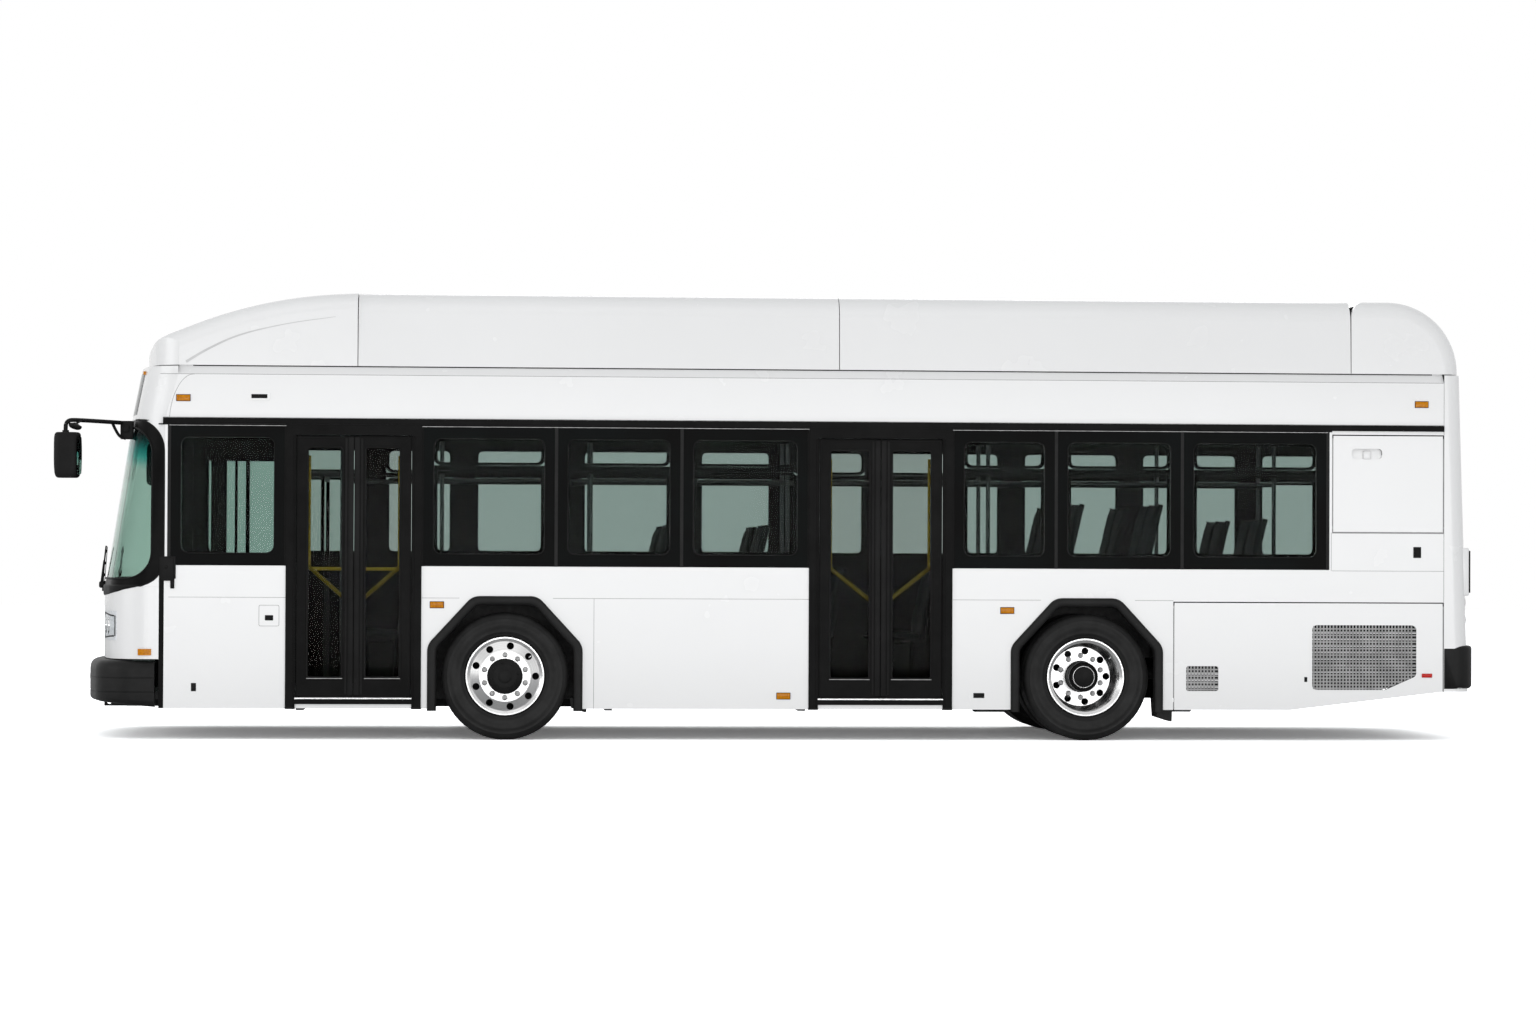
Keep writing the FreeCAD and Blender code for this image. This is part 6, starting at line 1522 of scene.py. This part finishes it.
def fill_with_cloth(mesh):
    """Cloth pressure pushes a closed pad out for twenty frames; no point moves further than a cap."""
    cap = 0.010
    start = [v.co.copy() for v in mesh.vertices]
    pad = bpy.data.objects.new("cloth_work", mesh)
    scene.collection.objects.link(pad)
    cloth = pad.modifiers.new("cloth", "CLOTH")
    cloth.settings.use_pressure = True
    cloth.settings.uniform_pressure_force = 4.0
    cloth.settings.effector_weights.gravity = 0.0
    cloth.settings.quality = 6
    for frame_number in range(1, 21):
        scene.frame_set(frame_number)
    graph = bpy.context.evaluated_depsgraph_get()
    shaped = pad.evaluated_get(graph).to_mesh()
    moved = [v.co.copy() for v in shaped.vertices]
    for vert, first, last in zip(mesh.vertices, start, moved):
        step = last - first
        vert.co = first + (step if step.length <= cap else step * (cap / step.length))
    bpy.data.objects.remove(pad)
    scene.frame_set(1)


def seat_places():
    """Every seat: X of its cushion's front, Y of its middle, heights of its cushion's top and its foot."""
    places = []
    for station, sides, base, foot in SEAT_ROWS:
        for side in sides:
            for offset in (-0.217, 0.217):
                places.append((at_metres(station), side * PAIR_Y + offset, base + SEAT_RISE, foot))
    for k in range(5):
        places.append((at_metres(BENCH[0]), -0.944 + 0.472 * k, BENCH[1] + SEAT_RISE, BENCH[2]))
    places.append((at_metres(DRIVER[0]), DRIVER[1], DRIVER[2] + SEAT_RISE, DRIVER[3]))
    return places


BACK_TILT = math.atan2(0.120, 0.530)
BACK_UP = Vector((math.sin(BACK_TILT), 0, math.cos(BACK_TILT)))       # along a back, and square out of it
BACK_OUT = Vector((-math.cos(BACK_TILT), 0, math.sin(BACK_TILT)))


def seats():
    """Padded cushions and backs on moulded shells, with grab handles and pedestals."""
    cushion = pad_mesh("cushion", PAD_W, PAD_D, PAD_H)
    back = pad_mesh("back_cushion", PAD_W, BACK_H, BACK_T, 22, 26)

    def lay(source, moves):
        work = bmesh.new()
        for move in moves:
            copy = bmesh.new()
            copy.from_mesh(source)
            bmesh.ops.transform(copy, matrix=move, verts=copy.verts)
            part = bpy.data.meshes.new("part")
            copy.to_mesh(part)
            work.from_mesh(part)
            bpy.data.meshes.remove(part)
            copy.free()
        return closed_mesh(source.name + "s", work)

    def cushion_move(place):
        x, y, top, _ = place
        turn = Matrix.Rotation(math.radians(3), 4, "Y") @ Matrix.Rotation(math.pi / 2, 4, "Z")
        return Matrix.Translation((x + 0.012 + PAD_D / 2, y, top - 0.020)) @ turn

    def back_move(place):
        x, y, top, _ = place
        foot = Vector((x + 0.424, y, top + 0.005))
        up, out = BACK_UP, BACK_OUT
        centre = foot + up * (BACK_H / 2 - 0.010) + out * 0.004
        axes = Matrix(((0, up.x, out.x), (-1, up.y, out.y), (0, up.z, out.z))).to_4x4()
        return Matrix.Translation(centre) @ axes

    places = seat_places()
    cushions = piece("seat_cushions", lay(cushion, [cushion_move(p) for p in places]), "seat")
    backs = piece("seat_back_cushions", lay(back, [back_move(p) for p in places]), "seat")

    def shells(work):
        for x, y, top, _ in places:
            profile = [(0.0, -0.030), (0.010, -0.050), (0.20, -0.055), (0.40, -0.062), (0.445, -0.045)]
            add_sheet(work, [[Vector((x + dx, y + w, top + dz + lift)) for dx, dz in profile]
                             for w, lift in ((-0.212, 0.020), (-0.205, 0.0), (0.205, 0.0), (0.212, 0.020))])
            # A back from side to side: run across and how far it lies out of the back's own plane.
            rows = ((-0.214, 0.018), (-0.208, -0.020), (-0.10, -0.030), (0.10, -0.030), (0.208, -0.020),
                    (0.214, 0.018))
            heights = ((-0.055, 0.004), (0.05, 0.0), (0.30, 0.0), (0.50, 0.0), (0.548, -0.004),
                       (0.556, 0.006))
            add_sheet(work, [[Vector((x + 0.424, y + w, top)) + BACK_UP * h + BACK_OUT * (lift + extra)
                              for h, extra in heights] for w, lift in rows])

    def frames(work):
        def block(x, y, low, high, ends, half, round_by, segments=2):
            """A box under a seat, from runs back from its cushion's front edge and half its width."""
            add_box(work, (x + ends[0], y - half, low), (x + ends[1], y + half, high), round_by, segments)

        for x, y, top, _ in places:
            seat_base = Vector((x + 0.438, y, top)) + BACK_UP * 0.47
            lean = ((0.0, 0.0, 0.16), (0.052, 0.003, 0.148), (0.060, 0.003, 0.12))
            half = [[seat_base + BACK_UP * by + Vector((dx, side * dy, 0)) for by, dx, dy in lean]
                    for side in SIDES]
            add_tube(work, half[0] + half[1][::-1], 0.009, 10)
        for station, sides, base, foot in SEAT_ROWS:
            for side in sides:
                x, y, top = at_metres(station), side * PAIR_Y, base + SEAT_RISE
                for dx in (0.10, 0.33):
                    block(x + dx, y, top - 0.098, top - 0.064, (-0.018, 0.018), 0.40, 0.006)
                if top - foot > 0.2:
                    block(x, y, foot, top - 0.09, (0.15, 0.36), 0.055, 0.015, 3)
                    block(x, y, foot, foot + 0.012, (0.11, 0.40), 0.10, 0.004)
                else:
                    block(x, y, foot, top - 0.09, (0.08, 0.40), 0.36, 0.010)
        x, y, top, foot = places[-1]
        block(x, y, foot, foot + 0.12, (0.10, 0.42), 0.14, 0.02, 3)
        block(x, y, foot + 0.12, top - 0.06, (0.16, 0.36), 0.09, 0.02, 3)
        block(at_metres(BENCH[0]), 0.0, BENCH[2], BENCH[1] + 0.38, (0.03, 0.42), 1.175, 0.01)

    shell = crisp_piece("seat_shells", shells, "shell", 50)
    solid = shell.modifiers.new("thickness", "SOLIDIFY")
    solid.thickness, solid.offset = 0.006, 0.0
    frame_piece = crisp_piece("seat_frames", frames, "plastic", 40)
    for made in (cushions, backs, shell, frame_piece):
        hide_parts("seats")


# ---------------------------------------------------------------- arch trims and mud flaps

# The wheel arch's outer edge about its axle, from one foot round to the other: run and height.
ARCH_HALF, ARCH_SHOULDER, ARCH_TOP_HALF, ARCH_TOP, ARCH_FOOT = 0.607, 0.745, 0.255, 1.127, 0.228


def arch_path(grow):
    """The arch's edge as rounded corners: points of run and height, moved inward by an amount."""
    slope = math.atan2(ARCH_TOP - ARCH_SHOULDER, ARCH_HALF - ARCH_TOP_HALF)
    half, top, steps = ARCH_HALF - grow, ARCH_TOP - grow, 7
    lift = grow * math.tan((math.pi / 2 - slope) / 2)
    shoulder = ARCH_SHOULDER - lift
    top_half = ARCH_TOP_HALF - grow * math.tan(slope / 2)
    corners = [(half, shoulder), (top_half, top), (-top_half, top), (-half, shoulder)]
    marks = [(half, ARCH_FOOT), *corners, (-half, ARCH_FOOT)]
    radius = 0.140 - grow * 0.5
    path = [Vector((marks[0][0], 0, marks[0][1]))]
    for before, corner, after in zip(marks, marks[1:], marks[2:]):
        a, b, c = (Vector((m[0], 0, m[1])) for m in (before, corner, after))
        one, two = (a - b).normalized(), (c - b).normalized()
        half_turn = math.acos(max(-1, min(1, one.dot(two)))) / 2
        run = radius / math.tan(half_turn)
        middle = b + (one + two).normalized() * (radius / math.sin(half_turn))
        start, end = b + one * run, b + two * run
        first, last = start - middle, end - middle
        whole = first.angle(last)
        for k in range(steps + 1):
            t = k / steps
            path.append(middle + (first * math.sin((1 - t) * whole)
                                  + last * math.sin(t * whole)) / math.sin(whole))
    path.append(Vector((marks[-1][0], 0, marks[-1][1])))
    return path


def arches():
    """Moulded lips round the wheel openings: a rolled outer edge, a broad face and a return inward."""
    # Each row across the moulding: how far inside the outer edge and how far out of the skin.
    section = ((0.0, -0.004), (0.0, 0.010), (0.003, 0.019), (0.009, 0.0245), (0.018, 0.0275), (0.030, 0.0285),
               (0.050, 0.0275), (0.060, 0.0245), (0.067, 0.018), (0.0705, 0.008), (0.0715, -0.004),
               (0.0715, -0.046))

    def lips(work):
        for side in SIDES:
            for axle in (AXLE_FRONT, AXLE_REAR):
                grid = []
                for inward, out in section:
                    grid.append([Vector((axle + p.x, side * (SKIN + out), p.z)) for p in arch_path(inward)])
                add_sheet(work, grid)
                for end in (0, -1):
                    work.faces.new([work.verts.new(row[end]) for row in grid])

    made = crisp_piece("arch_lips", lips, "rubber", 40)
    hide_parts("wheel_arch_trims")

    def flaps(work):
        for side in SIDES:
            for axle, back in ((AXLE_REAR, 0.690), (AXLE_FRONT, 0.640)):
                deep = 0.150 if axle == AXLE_REAR else 0.215
                y0, y1 = side * 1.235, side * 0.985
                front, rear = axle + back - 0.130, axle + back
                top, low = 0.330, deep
                points = [(front, top), (front + 0.010, low + 0.035), (rear - 0.012, low),
                          (rear, low + 0.004), (rear + 0.004, top)]
                for y in (y0, y1):
                    work.faces.new([work.verts.new((x, y, z)) for x, z in points])
                for (a, b), (c, d) in zip(points, points[1:] + points[:1]):
                    work.faces.new([work.verts.new(p) for p in ((a, y0, b), (c, y0, d), (c, y1, d),
                                                                (a, y1, b))])
            side_box(work, side, (at(8500), at(8760)), (1.20, 1.10), (0.226, 0.300), 0.010)
            side_box(work, side, (at(7020), at(7300)), (1.20, 1.10), (0.222, 0.300), 0.010)

    crisp_piece("mud_flaps", flaps, "rubber", 30)


# ---------------------------------------------------------------- roof lines, lamps and rear end

def square_to(run, k):
    """The direction square to a run at one of its points, in the plane of X and Z."""
    way = (run[min(k + 1, len(run) - 1)] - run[max(k - 1, 0)]).normalized()
    return Vector((-way.z, 0, way.x))


def spline_strip(work, points, side):
    """A seam on the flat of the side along a smooth run of station and height."""
    run = soft_spline([Vector((at(s), side * (SKIN + 0.0006), z / 1000)) for s, z in points], 10)
    add_sheet(work, [[p + square_to(run, k) * SEAM / 2, p - square_to(run, k) * SEAM / 2]
                     for k, p in enumerate(run)])


def roof_lines():
    """The header's curved seams, and thin bright strips over the windows and along the gutter rails that are
    painted highlights.
    """
    def header(work):
        for side in SIDES:
            spline_strip(work, ((704, 2514), (716, 2600), (745, 2700), (795, 2790), (850, 2838), (900, 2849)),
                         side)

    flat_piece("header_seams", header, "seam")

    # Painted highlights: thin bright steel strips stand for the light caught along the top of the window band
    # and on the gutter rails.
    def light(work):
        for a, b in ((704, 1609), (2664, 5700), (6836, 9835)):
            add_box(work, (at(a), -SKIN - 0.0022, 2.4475), (at(b), -SKIN - 0.0002, 2.4505))
        for side in SIDES:
            side_box(work, side, (at(655), at(10770)), (SKIN + 0.0142, SKIN + 0.0125), (2.5085, 2.5105))

    flat_piece("gutter_highlights", light, "trim")


def dome_fold_shade():
    """Painted shade of the soft fold that climbs each side of the dome: a grey strip laid on the dome that
    fades out.
    """
    dome = NODES["roof_dome"]
    fold = ((800, 2930), (1000, 3050), (1248, 3161), (1600, 3248), (1983, 3307))

    def strips(work):
        for side in SIDES:
            run = soft_spline([Vector((at(s), 0, z / 1000)) for s, z in fold], 8)
            rows = []
            for k, p in enumerate(run):
                half = 0.009 * (1 - k / (len(run) - 1)) + 0.0015
                up = square_to(run, k) * half
                hits = [dome.ray_cast(Vector((q.x, side * 5, q.z)), Vector((0, -side, 0)))
                        for q in (p + up, p, p - up)]
                if all(hit[0] for hit in hits):
                    rows.append([hit[1] + hit[2] * 0.0010 for hit in hits])
            add_sheet(work, rows)

    smooth_piece("dome_fold_shade", strips, "crease")


def rear_bumper():
    """The rear bumper with its outer edges rounded off."""
    def build(work):
        work.from_mesh(NODES["bumper_rear"].data)
        bmesh.ops.remove_doubles(work, verts=work.verts[:], dist=0.00005)
        bmesh.ops.dissolve_limit(work, angle_limit=math.radians(1.5), verts=work.verts[:],
                                 edges=work.edges[:])
        rim = [e for e in work.edges if len(e.link_faces) == 2 and e.calc_face_angle() > math.radians(60)
               and all(v.co.x > at(10850) for v in e.verts)
               and (all(v.co.z > 0.75 for v in e.verts) or all(v.co.z < 0.43 for v in e.verts))]
        outer = [e for e in rim if any(abs(f.normal.z) < 0.5 and
                                       f.normal.dot(f.calc_center_median() - Vector((at(10774), 0, 0.6))) > 0
                                       for f in e.link_faces)]
        bmesh.ops.bevel(work, geom=outer, offset=0.034, segments=5, affect="EDGES", profile=0.5)

    made = crisp_piece("rear_bumper_cover", build, "rubber", 35)
    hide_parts("bumper_rear")


TAIL_LAMP_Y = 1.095


def tail_dress():
    """Round tail lamps in bezels, the upper markers, and a white pod with a dark face at each corner."""
    lens_rows = [(0.0005, 0.0), (0.030, -0.001), (0.044, -0.004), (0.050, -0.010), (0.0505, -0.045)]

    def red(work):
        for side in SIDES:
            for z, s in ((1.240, 10.977), (0.960, 10.985)):
                add_turned_x(work, lens_rows, NOSE + s - 0.0005, side * TAIL_LAMP_Y, z, 32, 1)
        for y in MARKER_YS:
            x = rear_face(y, MARKER_Z)
            if x is not None:
                add_box(work, (x - 0.020, y - 0.040, 2.854), (x + 0.010, y + 0.040, 2.882), 0.005, 3)

    def amber(work):
        for side in SIDES:
            add_turned_x(work, lens_rows, NOSE + 10.9805, side * TAIL_LAMP_Y, 1.100, 32, 1)

    def bezels(work):
        for side in SIDES:
            for z, s in ((1.240, 10.977), (1.100, 10.981), (0.960, 10.985)):
                add_turned_x(work, [(0.0505, -0.004), (0.0530, 0.0006), (0.0590, 0.0006), (0.0615, -0.004),
                                    (0.0615, -0.050)], NOSE + s, side * TAIL_LAMP_Y, z, 32, 1)

    made = crisp_piece("tail_lenses", red, "red", 40)
    other = crisp_piece("reversing_lenses", amber, "amber", 40)
    rim = crisp_piece("tail_lamp_bezels", bezels, "plastic", 40)
    for thing in (made, other, rim):
        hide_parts("tail_lamps")

    def pods(work):
        for side in SIDES:
            side_box(work, side, (NOSE + 10.860, NOSE + 10.992), (1.166, 1.238), (1.157, 1.539), 0.014, 4)

    def pod_faces(work):
        for side in SIDES:
            side_box(work, side, (NOSE + 10.9905, NOSE + 11.0012), (1.172, 1.236), (1.180, 1.516), 0.003)

    crisp_piece("rear_pods", pods, "white")
    crisp_piece("rear_pod_faces", pod_faces, "black")


def rear_face(y, z):
    """Where the rear skin lies at a place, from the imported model, or nothing."""
    node = NODES["rear_cap"]
    hit, place, _, _ = node.ray_cast(Vector((20.0, y, z)), Vector((-1, 0, 0)))
    return place.x if hit else None


def headlights():
    """On each side a clear cover edged in black, and two round reflectors behind it."""
    inner, outer = 0.772, 1.168    # the cover's ends, from the middle
    rows = [row for row in OUTLINE if inner <= row[1] <= outer]

    def heights(row):
        t = (row[1] - inner) / (outer - inner)
        return 0.785 + 0.020 * t, 0.985 - 0.025 * t

    def cover(work):
        for side in SIDES:
            grid = []
            for row in rows:
                low, high = heights(row)
                grid.append([skin_at(MASK, row, low + (high - low) * v, side,
                                     0.0015 + 0.007 * (1 - (2 * v - 1) ** 4))
                             for v in (0, 0.02, 0.08, 0.25, 0.5, 0.75, 0.92, 0.98, 1)])
            add_sheet(work, grid)

    def bowls(work):
        for side in SIDES:
            for y, r in ((0.850, 0.072), (1.000, 0.072)):
                place = skin_at(MASK, nearest_row(y), 0.885, side)
                add_turned_x(work, [(0.004, -0.040), (0.030, -0.036), (0.055, -0.024), (r - 0.004, 0.001),
                                    (r, 0.001), (r + 0.002, -0.03)], place.x, place.y, 0.885, 32)

    def edge(work):
        for side in SIDES:
            loop = [skin_at(MASK, row, heights(row)[0], side, 0.002) for row in rows]
            loop += [skin_at(MASK, row, heights(row)[1], side, 0.002) for row in rows[::-1]]
            add_tube(work, loop, 0.007, 8, True)

    made = crisp_piece("headlamp_covers", cover, "cover", 50)
    crisp_piece("headlamp_bowls", bowls, "chrome", 50)
    crisp_piece("headlamp_edges", edge, "plastic", 60)


front_fillers()
gaskets()
front_bumper()
mirrors()
wipers()
front_fittings()
door_dress()
doorway_trim()
seats()
arches()
roof_lines()
dome_fold_shade()
rear_bumper()
tail_dress()
headlights()
